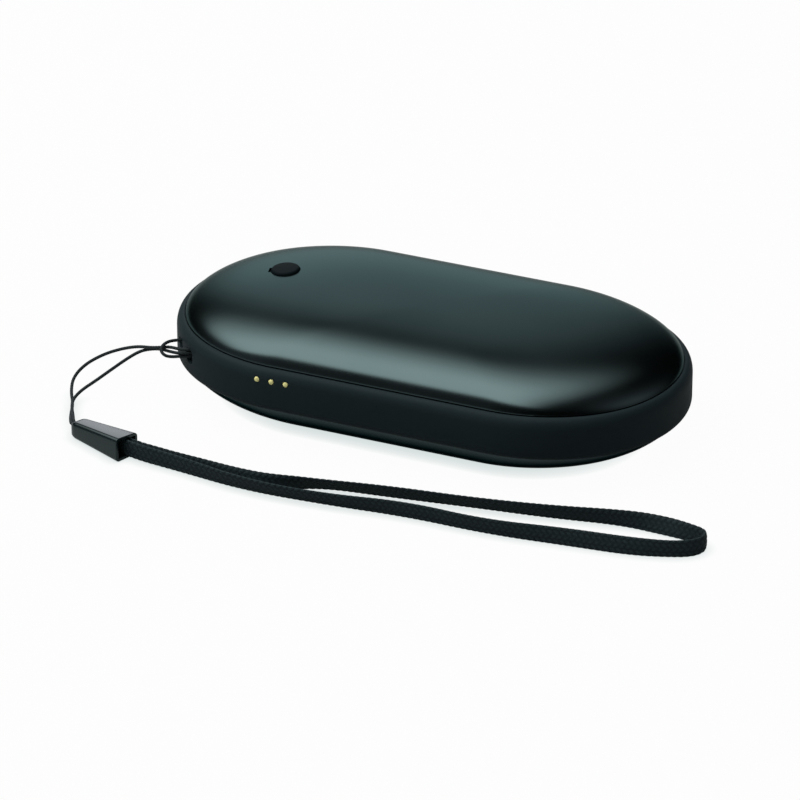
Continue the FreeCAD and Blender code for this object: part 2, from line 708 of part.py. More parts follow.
def heater(label, height):
    """A thin heater film with the pebble's outline; the top one stops short of the button."""
    body = new_body(label)
    sketch = new_sketch(body, label + "_outline", z=height)
    outline(sketch, ("cover_inset", "cover_wall"), HEATER_SHARE)
    pad(body, sketch, label + "_film", "Sizes.heater_thickness")
    return body


top_heater = heater("top_heater", "%s-Sizes.heater_thickness" % LAND_TOP)
film_edge = "(%s+Sizes.button_diameter/2+Sizes.button_collar_reach+Sizes.film_gap)" % BUTTON_X
film_end = new_sketch(top_heater, "film_end_outline", x="%s-Sizes.button_diameter" % film_edge, z=LAND_TOP)
rectangle(film_end, "2*Sizes.button_diameter", "Sizes.body_width")
pocket(top_heater, film_end, "film_end", "Sizes.heater_thickness")
heater("bottom_heater", LAND_LOW)

# Heater leads run straight between the board and each film, in pairs; the lower pair drops through the
# tray's slot.
leads_top = []
leads_low = []
for name, offset in (("a", "-Sizes.heater_lead_spread/2"), ("b", "Sizes.heater_lead_spread/2")):
    lead_y = LEAD_SIDE + (offset if offset.startswith("-") else "+" + offset)
    up_length = "%s-Sizes.heater_thickness-%s" % (LAND_TOP, BOARD_TOP)
    down_length = "%s-%s" % (BOARD_LOW, foam_low)
    thick = "Sizes.heater_lead_diameter"
    leads_top.append(rod("top_lead_" + name, slot_x, "-(%s)" % lead_y, BOARD_TOP, thick, up_length))
    leads_low.append(rod("low_lead_" + name, slot_x, lead_y, foam_low, thick, down_length))
group("top_heater_leads", leads_top)
group("bottom_heater_leads", leads_low)

# A chip thermistor on the inner side of each film.
sensor_x = "(%s-Sizes.sensor_length)" % BOARD_END
sensor_high = "%s-Sizes.heater_thickness-Sizes.sensor_width" % LAND_TOP
sensors = []
for name, height in (("top", sensor_high), ("low", foam_low)):
    sensors.append(box("sensor_" + name, sensor_x, "-Sizes.sensor_width/2", height,
                       "Sizes.sensor_length", "Sizes.sensor_width", "Sizes.sensor_width"))
group("thermistors", sensors)

# Board parts.
screw_edge = "(%s-Sizes.screw_head/2)" % SCREW_SIDE
box("controller_chip", "%s+Sizes.button_diameter" % BUTTON_X,
    "%s-Sizes.controller_room-Sizes.controller_side" % screw_edge, BOARD_TOP,
    "Sizes.controller_side", "Sizes.controller_side", "Sizes.controller_height")
box("charger_chip", "%s+Sizes.button_diameter" % BUTTON_X, "Sizes.charger_room-%s" % screw_edge,
    BOARD_TOP, "Sizes.charger_length", "Sizes.charger_width", "Sizes.charger_height")
box("power_inductor", "%s-Sizes.inductor_side/2" % BUTTON_X, "-Sizes.button_diameter-Sizes.inductor_side",
    BOARD_TOP, "Sizes.inductor_side", "Sizes.inductor_side", "Sizes.inductor_height")
capacitor_x = "%s-Sizes.switch_side/2-Sizes.capacitor_gap-Sizes.capacitor_length" % BUTTON_X
capacitor_side = "Sizes.body_width/2-Sizes.band_wall-Sizes.board_gap-Sizes.capacitor_side_room"
capacitors = []
for index in range(4):
    capacitors.append(box("capacitor_%d" % index, capacitor_x,
                          "%s-%d*Sizes.capacitor_pitch" % (capacitor_side, index), BOARD_TOP,
                          "Sizes.capacitor_length", "Sizes.capacitor_width", "Sizes.capacitor_width"))
group("board_capacitors", capacitors)

# Push switch on the board, under the button; its plunger slides in the body's bore.
switch_block = box("switch_block", "%s-Sizes.switch_side/2" % BUTTON_X, "%s-Sizes.switch_side/2" % BUTTON_Y,
                   BOARD_TOP, "Sizes.switch_side", "Sizes.switch_side", "Sizes.switch_height")
switch_top = "(%s+Sizes.switch_height)" % BOARD_TOP
bore = rod("switch_bore", BUTTON_X, BUTTON_Y, "%s-Sizes.switch_bore_depth" % switch_top,
           "Sizes.plunger_diameter+2*Sizes.plunger_fit", "2*Sizes.switch_bore_depth")
cut("switch_body", switch_block, bore)
plunger_top = "(%s+Sizes.plunger_proud)" % switch_top
rod("switch_plunger", BUTTON_X, BUTTON_Y, "%s-Sizes.plunger_drop" % switch_top, "Sizes.plunger_diameter",
    "Sizes.plunger_drop+Sizes.plunger_proud")

# Button cap: a small round moulding with a soft-edged head, a collar that the cover holds down, a stem on the
# switch's plunger, and a key that keeps it from turning.
button = new_body("button_cap")
collar_low = "(%s-Sizes.button_collar_gap-Sizes.button_collar)" % LAND_TOP
stem = new_sketch(button, "stem_outline", x=BUTTON_X, y=BUTTON_Y, z=plunger_top)
circle(stem, "Sizes.button_stem")
pad(button, stem, "button_stem", "%s-%s" % (collar_low, plunger_top))
collar = new_sketch(button, "collar_outline", x=BUTTON_X, y=BUTTON_Y, z=collar_low)
circle(collar, "Sizes.button_diameter+2*Sizes.button_collar_reach")
pad(button, collar, "button_collar", "Sizes.button_collar")
barrel = new_sketch(button, "barrel_outline", x=BUTTON_X, y=BUTTON_Y, z=collar_low)
circle(barrel, "Sizes.button_diameter")
pad(button, barrel, "button_barrel", "%s+Sizes.cover_wall+Sizes.button_proud-%s" % (LAND_TOP, collar_low))
key = new_sketch(button, "key_outline", x="%s-Sizes.button_diameter/2" % BUTTON_X, y=BUTTON_Y, z=collar_low)
rectangle(key, "2*Sizes.key_reach", "Sizes.key_width")
pad(button, key, "button_key", "%s+Sizes.cover_wall-Sizes.key_drop-%s" % (LAND_TOP, collar_low))
doc.recompute()
head_edges = level_edges(button.Shape, (button.Shape.BoundBox.ZMax,))
fillet(button, button.Tip, "button_dome_edge", head_edges, "Sizes.button_dome")

# Charging contacts: three plated pins flush with the band, carried by a block on the board's edge.
block_front = "(-Sizes.body_width/2+Sizes.band_wall+Sizes.board_gap)"
block = box("contact_holder", "%s-Sizes.contact_block_length/2" % CONTACT_X, block_front, BOARD_TOP,
            "Sizes.contact_block_length", "Sizes.contact_block_depth", "Sizes.contact_block_height")
pins = []
sleeves = []
for index in (-1, 0, 1):
    pin_x = "%s+(%d)*Sizes.contact_pitch" % (CONTACT_X, index)
    pin = rod("pin_%d" % (index + 1), pin_x, "-Sizes.body_width/2", "Sizes.contact_level",
              "Sizes.contact_diameter", "Sizes.contact_length", along_y=True)
    dimple = doc.addObject("Part::Cone", "dimple_%d" % (index + 1))
    dimple.Placement = LYING
    dimple.setExpression("Radius1", "Sizes.contact_dimple")
    dimple.setExpression("Height", "Sizes.contact_dimple/2")
    dimple.Radius2 = 0
    dimple.setExpression("Placement.Base.x", pin_x)
    dimple.setExpression("Placement.Base.y", "-Sizes.body_width/2")
    dimple.setExpression("Placement.Base.z", "Sizes.contact_level")
    pins.append(cut("contact_pin_%d" % (index + 1), pin, dimple))
    sleeves.append(rod("sleeve_%d" % (index + 1), pin_x, "-Sizes.body_width/2", "Sizes.contact_level",
                       hole_diameter, "Sizes.contact_length+Sizes.band_wall", along_y=True))
group("charge_contacts", pins)
cut("contact_block", block, fuse("contact_sleeves", sleeves))


def runs_and_arcs(points):
    """Straight runs joined by tangent arcs as large as the runs allow, and the arcs' radii."""
    edges = []
    radii = []
    here = points[0]
    for before, corner, after in zip(points, points[1:], points[2:]):
        entry = (corner - before).normalize()
        leave = (after - corner).normalize()
        turn = entry.getAngle(leave)
        shorter = min((corner - before).Length, (after - corner).Length)
        reach = ARC_SHARE * shorter
        radius = reach / math.tan(turn / 2)
        start = corner - entry * reach
        stop = corner + leave * reach
        inward = (leave - entry).normalize()
        centre = corner + inward * (radius / math.cos(turn / 2))
        middle = centre - inward * radius
        edges.append(Part.LineSegment(here, start).toShape())
        edges.append(Part.Arc(start, middle, stop).toShape())
        radii.append(radius)
        here = stop
    edges.append(Part.LineSegment(here, points[-1]).toShape())
    return edges, radii


def cord(label, points):
    """A round cord along its route, checked against its section times its length."""
    edges, radii = runs_and_arcs(points)
    path = Part.Wire(edges)
    radius = size("cord_diameter") / 2
    section = Part.Wire(Part.Circle(points[0], points[1] - points[0], radius).toShape())
    solid = path.makePipeShell([section], True, False)
    if not solid.ShapeType == "Solid":
        solid = Part.Solid(solid.Shells[0])
    expected = math.pi * radius ** 2 * path.Length
    print("%s: length %.1f, least radius %.2f, volume %.3f of %.3f"
          % (label, path.Length, min(radii), solid.Volume, expected))
    feature = doc.addObject("Part::Feature", label)
    feature.Label = label
    feature.Shape = solid
    return feature


# Places in the lanyard channel, from the bar's face, and in the connector, from its mouth.
lanyard_turn = math.radians(size("lanyard_angle"))
outward = FreeCAD.Vector(-math.cos(lanyard_turn), -math.sin(lanyard_turn), 0)
sideways = FreeCAD.Vector(math.sin(lanyard_turn), -math.cos(lanyard_turn), 0)
tip_radius = end_shape()[0]
bar_face = FreeCAD.Vector(tip_radius - size("body_length") / 2, 0, 0) + outward * tip_radius
mouth = FreeCAD.Vector(CONNECTOR_MOUTH[0], CONNECTOR_MOUTH[1], 0)
connector_turn = FreeCAD.Rotation(FreeCAD.Vector(0, 0, 1), CONNECTOR_HEADING)


def in_channel(slot_side, out, height):
    across = slot_side * (size("lanyard_bar") + size("lanyard_slot")) / 2
    return bar_face + outward * out + sideways * across + FreeCAD.Vector(0, 0, height)


def in_connector(ahead, across, height):
    return mouth + connector_turn.multVec(FreeCAD.Vector(ahead, across, height))


def channel_end(slot_side, places):
    """A cord's first two points: on the channel's back wall, and straight out from it."""
    height = size("lanyard_level") + places * size("cord_diameter", "cord_gap")
    back = -size("lanyard_channel_depth")
    return [in_channel(slot_side, back, height), in_channel(slot_side, back + size("cord_lead"), height)]


def nose_end(side):
    """A cord's last two points: straight into the connector's nose, and on the bottom of its recess."""
    across = side * size("cord_diameter", "cord_nose_gap") / 2
    bottom = size("cord_mouth_depth", "-connector_length")
    height = size("cord_mouth_level")
    ahead = bottom - size("cord_nose_lead")
    return [in_connector(ahead, across, height), in_connector(bottom, across, height)]


def free(route):
    return [FreeCAD.Vector(*point) for point in route]


cord("lanyard_strand_upper", channel_end(1, 1.6) + free(UPPER_STRAND) + nose_end(-1))
cord("lanyard_strand_lower", channel_end(1, 0.6) + free(LOWER_STRAND) + nose_end(1))
cord("lanyard_hitch", channel_end(-1, 1.5) + free(HITCH) + channel_end(1, -0.4)[::-1])

# Strap connector: a small moulded wedge, narrow where the cord enters and open where the strap leaves.
connector = new_body("strap_connector")
plan = new_sketch(connector, "connector_plan")
reach = size("connector_length")
nose = size("connector_nose_width") / 2
wide = size("connector_mouth_width") / 2
corners = [FreeCAD.Vector(*corner) for corner in ((-reach, -nose), (0, -wide), (0, wide), (-reach, nose))]
plan.addGeometry([Part.LineSegment(corners[i], corners[(i + 1) % 4]) for i in range(4)], False)
for index in range(4):
    plan.addConstraint(Sketcher.Constraint("Coincident", index, 2, (index + 1) % 4, 1))
plan.addConstraint(Sketcher.Constraint("Symmetric", 1, 1, 1, 2, -1))
plan.addConstraint(Sketcher.Constraint("Symmetric", 3, 1, 3, 2, -1))
plan.addConstraint(Sketcher.Constraint("PointOnObject", 1, 1, -2))
bind(plan, Sketcher.Constraint("DistanceX", 3, 2, -1, 1, reach), "Sizes.connector_length")
bind(plan, Sketcher.Constraint("DistanceY", 1, 1, 1, 2, 2 * wide), "Sizes.connector_mouth_width")
bind(plan, Sketcher.Constraint("DistanceY", 3, 2, 3, 1, 2 * nose), "Sizes.connector_nose_width")
pad(connector, plan, "connector_block", "Sizes.connector_mouth_height")
slope = new_sketch(connector, "connector_slope", plane="XZ_Plane")
low = size("connector_nose_height")
high = size("connector_mouth_height")
corners = [FreeCAD.Vector(*corner) for corner in ((-reach, low), (0, high), (-reach, high))]
slope.addGeometry([Part.LineSegment(corners[i], corners[(i + 1) % 3]) for i in range(3)], False)
for index in range(3):
    slope.addConstraint(Sketcher.Constraint("Coincident", index, 2, (index + 1) % 3, 1))
slope.addConstraint(Sketcher.Constraint("Horizontal", 1))
slope.addConstraint(Sketcher.Constraint("Vertical", 2))
slope.addConstraint(Sketcher.Constraint("PointOnObject", 0, 2, -2))
bind(slope, Sketcher.Constraint("DistanceX", 0, 1, -1, 1, reach), "Sizes.connector_length")
bind(slope, Sketcher.Constraint("DistanceY", -1, 1, 0, 1, low), "Sizes.connector_nose_height")
bind(slope, Sketcher.Constraint("DistanceY", -1, 1, 0, 2, high), "Sizes.connector_mouth_height")
wedge = pocket(connector, slope, "connector_wedge", "2*Sizes.connector_mouth_width", both=True)
wedge_edges = ["Edge%d" % index for index, edge in enumerate(wedge.Shape.Edges, 1)
               if edge.BoundBox.XMin < -size("connector_length") / 4]
fillet(connector, wedge, "connector_soft_edges", wedge_edges, "Sizes.connector_round")
strap_room = new_sketch(connector, "strap_room_outline", plane="YZ_Plane",
                        y="Sizes.strap_floor+Sizes.strap_width/2")
rectangle(strap_room, "Sizes.connector_mouth_width-2*Sizes.connector_wall",
          "Sizes.strap_width+2*Sizes.connector_side_gap")
pocket(connector, strap_room, "strap_room", "Sizes.connector_depth")
cord_room = new_sketch(connector, "cord_room_outline", plane="YZ_Plane", y="Sizes.cord_mouth_level",
                       z="-Sizes.connector_length")
rectangle(cord_room, "Sizes.cord_mouth_width", "Sizes.cord_mouth_height")
pocket(connector, cord_room, "cord_room", "Sizes.cord_mouth_depth", reverse=True)
connector.Placement = FreeCAD.Placement(mouth, connector_turn)


def flat_strap(label, points):
    """A flat strap standing on edge along its route in the floor plane."""
    edges, radii = runs_and_arcs(points)
    path = Part.Wire(edges)
    half = size("strap_thickness") / 2
    sides = []
    for offset in (half, -half):
        side = []
        for edge in edges:
            if edge.Curve.TypeId == "Part::GeomLine":
                start, stop = edge.Vertexes[0].Point, edge.Vertexes[-1].Point
                across = (stop - start).cross(FreeCAD.Vector(0, 0, 1)).normalize() * offset
                side.append(Part.LineSegment(start + across, stop + across).toShape())
            else:
                centre = edge.Curve.Center
                ends = [edge.valueAt(edge.FirstParameter), edge.valueAt(edge.LastParameter)]
                middle = edge.valueAt((edge.FirstParameter + edge.LastParameter) / 2)
                tangent = edge.tangentAt(edge.FirstParameter)
                outward = (ends[0] - centre).normalize()
                reach = offset if tangent.cross(FreeCAD.Vector(0, 0, 1)).dot(outward) > 0 else -offset
                scale = (edge.Curve.Radius + reach) / edge.Curve.Radius
                moved = [centre + (point - centre) * scale for point in (ends[0], middle, ends[1])]
                side.append(Part.Arc(*moved).toShape())
        sides.append(side)
    left, right = sides
    first = Part.LineSegment(left[0].Vertexes[0].Point, right[0].Vertexes[0].Point).toShape()
    last = Part.LineSegment(left[-1].Vertexes[-1].Point, right[-1].Vertexes[-1].Point).toShape()
    border = Part.Wire(Part.__sortEdges__(left + right + [first, last]))
    solid = Part.Face(border).extrude(FreeCAD.Vector(0, 0, size("strap_width")))
    expected = path.Length * size("strap_thickness") * size("strap_width")
    print("%s: length %.1f, least radius %.2f, volume %.2f of %.2f"
          % (label, path.Length, min(radii), solid.Volume, expected))
    feature = doc.addObject("Part::Feature", label)
    feature.Label = label
    feature.Shape = solid
    return feature


floor = size("strap_floor")
lane = size("strap_thickness", "strap_lane_gap") / 2
inside = -size("connector_depth")
lead_out = size("strap_lead")
near_lane = size("strap_lane_shift") - lane
far_lane = size("strap_lane_shift") + lane
strap_route = [in_connector(inside, near_lane, floor), in_connector(lead_out, near_lane, floor)]
strap_route += [FreeCAD.Vector(x, y, floor) for x, y in STRAP]
strap_route += [in_connector(lead_out, far_lane, floor), in_connector(inside, far_lane, floor)]
flat_strap("wrist_strap", strap_route)

# Cell leads arch from the protection strip over the well's wall to the board.
for label, side in (("battery_lead_positive", 1), ("battery_lead_negative", -1)):
    lead = new_body(label)
    lead_y = "(%d*Sizes.lead_spread/2)" % side
    lead_x = "%s+Sizes.guard_length/2" % GUARD_START
    path = new_sketch(lead, label + "_path", plane="XZ_Plane", x=lead_x, y=guard_top, z="-" + lead_y)
    reach = -8.0
    crest = 4.0
    foot = 1.0
    bends = ((0, 0, 0), (0, crest, 0), (reach, crest, 0), (reach, foot, 0))
    turns = [FreeCAD.Vector(*bend) for bend in bends]
    path.addGeometry([Part.LineSegment(turns[i], turns[i + 1]) for i in range(3)], False)
    path.addConstraint(Sketcher.Constraint("Coincident", 0, 1, -1, 1))
    path.addConstraint(Sketcher.Constraint("Coincident", 0, 2, 1, 1))
    path.addConstraint(Sketcher.Constraint("Coincident", 1, 2, 2, 1))
    path.addConstraint(Sketcher.Constraint("Vertical", 0))
    path.addConstraint(Sketcher.Constraint("Horizontal", 1))
    path.addConstraint(Sketcher.Constraint("Vertical", 2))
    bind(path, Sketcher.Constraint("DistanceY", 0, 1, 0, 2, crest),
         "%s+Sizes.lead_rise-%s" % (BOARD_TOP, guard_top))
    bind(path, Sketcher.Constraint("DistanceX", 1, 2, 1, 1, -reach),
         "%s+Sizes.guard_length/2-%s+Sizes.lead_reach" % (GUARD_START, BOARD_END))
    bind(path, Sketcher.Constraint("DistanceY", 2, 2, 2, 1, crest - foot), "Sizes.lead_rise")
    section = new_sketch(lead, label + "_section", x=lead_x, y=lead_y, z=guard_top)
    circle(section, "Sizes.lead_diameter")
    pipe = lead.newObject("PartDesign::AdditivePipe", label + "_wire")
    pipe.Profile = section
    pipe.Spine = (path, [])
    pipe.Transition = "Round corner"
    doc.recompute()

doc.recompute()

# Every piece that is written, by its label.
NODES = (
    "side_band", "top_cover", "bottom_cover", "top_seal", "bottom_seal", "inner_tray", "main_board",
    "board_screws", "battery_cell", "protection_board", "battery_lead_positive", "battery_lead_negative",
    "top_foam", "bottom_foam", "top_heater", "bottom_heater", "top_heater_leads", "bottom_heater_leads",
    "thermistors", "controller_chip", "charger_chip", "power_inductor", "board_capacitors", "switch_body",
    "switch_plunger", "button_cap", "contact_block", "charge_contacts", "lanyard_strand_upper",
    "lanyard_strand_lower", "lanyard_hitch", "strap_connector", "wrist_strap",
)
for item in doc.Objects:
    if "Invalid" in item.State or "Error" in item.State:
        raise RuntimeError("%s is not built: %s" % (item.Label, item.State))
for sketch in doc.findObjects("Sketcher::SketchObject"):
    if not sketch.FullyConstrained:
        raise RuntimeError("%s is not fully constrained" % sketch.Label)
pieces = {label: doc.getObjectsByLabel(label)[0] for label in NODES}
for label, piece in pieces.items():
    if piece.Shape.isNull() or not piece.Shape.isValid() or not piece.Shape.Solids:
        raise RuntimeError("%s has no valid solid" % label)
os.makedirs("parts", exist_ok=True)
for label, piece in pieces.items():
    piece.Shape.exportStep("parts/%s.step" % label)
print("%d pieces written" % len(pieces))
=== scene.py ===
import bpy
import bmesh
import math
from mathutils import Euler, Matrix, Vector


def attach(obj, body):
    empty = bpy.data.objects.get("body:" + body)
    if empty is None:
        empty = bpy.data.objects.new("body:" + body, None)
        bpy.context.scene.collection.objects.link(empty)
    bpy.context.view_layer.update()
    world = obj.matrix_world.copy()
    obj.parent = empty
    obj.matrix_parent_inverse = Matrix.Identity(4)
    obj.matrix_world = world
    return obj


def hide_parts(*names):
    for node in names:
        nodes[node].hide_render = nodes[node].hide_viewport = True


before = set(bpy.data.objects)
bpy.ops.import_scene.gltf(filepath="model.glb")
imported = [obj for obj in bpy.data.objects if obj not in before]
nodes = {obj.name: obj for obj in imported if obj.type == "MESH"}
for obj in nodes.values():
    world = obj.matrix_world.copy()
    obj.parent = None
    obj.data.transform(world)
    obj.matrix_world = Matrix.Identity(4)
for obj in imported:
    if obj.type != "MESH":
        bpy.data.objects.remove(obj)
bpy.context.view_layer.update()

# Side band: a ring of moulded black plastic that carries all the rest. Its outer edges are soft, a cover is
# glued into a rebate on each side, three contact holes go through the front wall, and two slots in the left
# front corner leave a bar for the lanyard. Sizes are in millimetres.
MM = 0.001
HALF_WIDTH = 27.5
HALF_STRAIGHT = 22.4
SHOULDER_RADIUS = 31.984
TIP_RADIUS = 26.575
TIP_CENTRE = 25.425
BLEND_ANGLE = 56.0
STRAIGHT_STEPS = 28
SHOULDER_STEPS = 24
TIP_STEPS = 36
BAND_LOW = 6.6
BAND_TOP = 15.4
BAND_ROUND = 1.45
BAND_SHOULDER = 2.4
BAND_WALL = 3.4
REBATE_INSET = 1.55
LOW_LEDGE = 7.4
TOP_LEDGE = 14.3
LIP_REACH = 4.6
LIP_HEIGHT = 1.7
EDGE_STEPS = 10
CREASE = 35.0


def on_arc(x, y, radius, degrees):
    turn = math.radians(degrees)
    return x + radius * math.cos(turn), y + radius * math.sin(turn)


def pebble_ring(inset, share=1.0):
    """The pebble's outline, moved inwards by inset and then scaled about its middle."""
    half_width = HALF_WIDTH - inset
    shoulder = SHOULDER_RADIUS - inset
    quarter = [(HALF_STRAIGHT * step / STRAIGHT_STEPS, half_width) for step in range(STRAIGHT_STEPS)]
    for step in range(SHOULDER_STEPS):
        degrees = 90 - (90 - BLEND_ANGLE) * step / SHOULDER_STEPS
        quarter.append(on_arc(HALF_STRAIGHT, half_width - shoulder, shoulder, degrees))
    for step in range(TIP_STEPS + 1):
        quarter.append(on_arc(TIP_CENTRE, 0, TIP_RADIUS - inset, BLEND_ANGLE * (1 - step / TIP_STEPS)))
    ring = quarter[:-1]
    ring += [(x, -y) for x, y in reversed(quarter)][:-1]
    ring += [(-x, -y) for x, y in quarter][:-1]
    ring += [(-x, y) for x, y in reversed(quarter)][:-1]
    return [(share * x, share * y) for x, y in ring]


def skin(rings, loop=False):
    """Points and faces over rings of equal count; a ring of one point is a pole."""
    points = []
    starts = []
    for ring in rings:
        starts.append(len(points))
        points.extend(ring)
    faces = []
    order = list(range(len(rings))) + ([0] if loop else [])
    for here, after in zip(order, order[1:]):
        for index in range(max(len(rings[here]), len(rings[after]))):
            corners = []
            for ring, place in ((here, index), (here, index + 1), (after, index + 1), (after, index)):
                corners.append(starts[ring] + place % len(rings[ring]))
            faces.append(list(dict.fromkeys(corners)))
    return points, faces


def smooth(piece, crease):
    """Faces turned outwards and shaded smooth, with edges sharper than crease kept crisp."""
    form = bmesh.new()
    form.from_mesh(piece.data)
    bmesh.ops.recalc_face_normals(form, faces=form.faces)
    form.to_mesh(piece.data)
    form.free()
    piece.data.shade_smooth()
    piece.data.set_sharp_from_angle(angle=math.radians(crease))


def new_piece(name, points, faces, crease=CREASE):
    mesh = bpy.data.meshes.new(name)
    mesh.from_pydata([Vector(point) * MM for point in points], [], faces)
    piece = bpy.data.objects.new(name, mesh)
    bpy.context.scene.collection.objects.link(piece)
    smooth(piece, crease)
    return piece


def cut_away(piece, cutter):
    """Takes the cutter's room out of a piece."""
    cutting = piece.modifiers.new("cut", "BOOLEAN")
    cutting.operation = "DIFFERENCE"
    cutting.solver = "EXACT"
    cutting.object = cutter
    graph = bpy.context.evaluated_depsgraph_get()
    piece.data = bpy.data.meshes.new_from_object(piece.evaluated_get(graph))
    piece.modifiers.clear()
    bpy.data.objects.remove(cutter)
    smooth(piece, CREASE)


def rounded(height, across, up):
    """An edge's rounding from the wall to the level face, as insets and heights."""
    points = []
    for step in range(EDGE_STEPS + 1):
        turn = math.pi / 2 * step / EDGE_STEPS
        points.append((across * (1 - math.cos(turn)), height + up * math.sin(turn)))
    return points


band_profile = rounded(BAND_TOP - BAND_SHOULDER, BAND_ROUND, BAND_SHOULDER)
band_profile += [(REBATE_INSET, BAND_TOP), (REBATE_INSET, TOP_LEDGE), (BAND_WALL, TOP_LEDGE)]
band_profile += [(BAND_WALL, LOW_LEDGE + LIP_HEIGHT), (LIP_REACH, LOW_LEDGE + LIP_HEIGHT)]
band_profile += [(LIP_REACH, LOW_LEDGE), (REBATE_INSET, LOW_LEDGE), (REBATE_INSET, BAND_LOW)]
band_profile += rounded(BAND_LOW + BAND_ROUND, BAND_ROUND, -BAND_ROUND)[::-1]
band_rings = [[(x, y, height) for x, y in pebble_ring(inset)] for inset, height in band_profile]
side_band = new_piece("side_band_moulding", *skin(band_rings, loop=True))

# The slots' room is one U behind the bar, cut straight into the corner. The lower slot is the taller one,
# and the slots' corners are round.
LANYARD_ANGLE = 44.4
SLOT_TOP = 12.85
UPPER_SLOT_LOW = 10.75
LOWER_SLOT_LOW = 9.75
SLOT_ROUND = 1.0
BAR_HALF = 1.1
BAR_DEPTH = 1.2
SLOT_END = 3.9
CHANNEL_DEPTH = 2.7
CLEAR = 2.0
lanyard_turn = math.radians(LANYARD_ANGLE)
outward = Vector((-math.cos(lanyard_turn), -math.sin(lanyard_turn), 0))
sideways = Vector((math.sin(lanyard_turn), -math.cos(lanyard_turn), 0))
bar_face = Vector((-TIP_CENTRE, 0, 0)) + outward * TIP_RADIUS


def capped(rings):
    """Points and faces over rings, with the first and the last ring closed."""
    points, faces = skin(rings)
    faces += [list(range(len(rings[0]))), list(range(len(points) - len(rings[-1]), len(points)))]
    return points, faces


def slot_room(name, low, plan):
    """Room up to the slots' top; a corner of its plan is a place out, one aside and which way it rounds."""
    corners = rounded(low + SLOT_ROUND, SLOT_ROUND, -SLOT_ROUND)[::-1]
    corners += rounded(SLOT_TOP - SLOT_ROUND, SLOT_ROUND, SLOT_ROUND)
    rings = []
    for pinch, height in corners:
        level = Vector((0, 0, height))
        ring = []
        for out, side, way in plan:
            ring.append(bar_face + outward * out + sideways * (side + way * pinch) + level)
        rings.append(ring)
    return new_piece(name, *capped(rings))


lower_slot = [(CLEAR, BAR_HALF, 1), (CLEAR, SLOT_END, -1), (-CHANNEL_DEPTH, SLOT_END, -1)]
upper_slot = [(-CHANNEL_DEPTH, -SLOT_END, 1), (CLEAR, -SLOT_END, 1), (CLEAR, -BAR_HALF, -1)]
behind_bar = [(-BAR_DEPTH, -BAR_HALF, -1), (-BAR_DEPTH, BAR_HALF, 1)]
cut_away(side_band, slot_room("channel_room", UPPER_SLOT_LOW, lower_slot + upper_slot + behind_bar))
lower_room = lower_slot + [(-CHANNEL_DEPTH, BAR_HALF, 1)]
cut_away(side_band, slot_room("lower_slot_room", LOWER_SLOT_LOW, lower_room))

# Each contact hole has a small chamfer at the wall.
CONTACT_X = -21.8
CONTACT_PITCH = 3.0
CONTACT_LEVEL = 13.2
CONTACT_STEPS = 48
HOLE_RADIUS = 0.64
HOLE_CHAMFER = 0.1


def turned(profile, number):
    """Rings of a form turned about a contact's axis: each point of the profile is a radius and a depth."""
    rings = []
    for radius, depth in profile:
        ring = []
        for step in range(CONTACT_STEPS if radius else 1):
            turn = 2 * math.pi * step / CONTACT_STEPS
            x = CONTACT_X + number * CONTACT_PITCH + radius * math.cos(turn)
            ring.append((x, depth - HALF_WIDTH, CONTACT_LEVEL + radius * math.sin(turn)))
        rings.append(ring)
    return rings


hole_profile = [(0, -CLEAR), (HOLE_RADIUS + HOLE_CHAMFER + CLEAR, -CLEAR), (HOLE_RADIUS, HOLE_CHAMFER)]
hole_profile += [(HOLE_RADIUS, BAND_WALL + CLEAR), (0, BAND_WALL + CLEAR)]
for number in (-1, 0, 1):
    cut_away(side_band, new_piece("contact_hole", *skin(turned(hole_profile, number))))

# The grain that all finishes but the braids share: fine pits, and a slow drift of tone.
surface_grain = bpy.data.node_groups.new("surface_grain", "ShaderNodeTree")
surface_grain.interface.new_socket("Grain", in_out="INPUT", socket_type="NodeSocketFloat")
surface_grain.interface.new_socket("Tone", in_out="OUTPUT", socket_type="NodeSocketFloat")
surface_grain.interface.new_socket("Height", in_out="OUTPUT", socket_type="NodeSocketFloat")
grain_in = surface_grain.nodes.new("NodeGroupInput")
grain_out = surface_grain.nodes.new("NodeGroupOutput")
grain_place = surface_grain.nodes.new("ShaderNodeTexCoord")
pits = surface_grain.nodes.new("ShaderNodeTexNoise")
pits.inputs["Detail"].default_value = 3.0
drift = surface_grain.nodes.new("ShaderNodeTexNoise")
drift.inputs["Scale"].default_value = 60.0
drift.inputs["Detail"].default_value = 2.0
drift_range = surface_grain.nodes.new("ShaderNodeMapRange")
drift_range.inputs["From Min"].default_value = 0.3
drift_range.inputs["From Max"].default_value = 0.7
surface_grain.links.new(grain_place.outputs["Object"], pits.inputs["Vector"])
surface_grain.links.new(grain_place.outputs["Object"], drift.inputs["Vector"])
surface_grain.links.new(grain_in.outputs["Grain"], pits.inputs["Scale"])
surface_grain.links.new(drift.outputs["Fac"], drift_range.inputs["Value"])
surface_grain.links.new(drift_range.outputs["Result"], grain_out.inputs["Tone"])
surface_grain.links.new(pits.outputs["Fac"], grain_out.inputs["Height"])


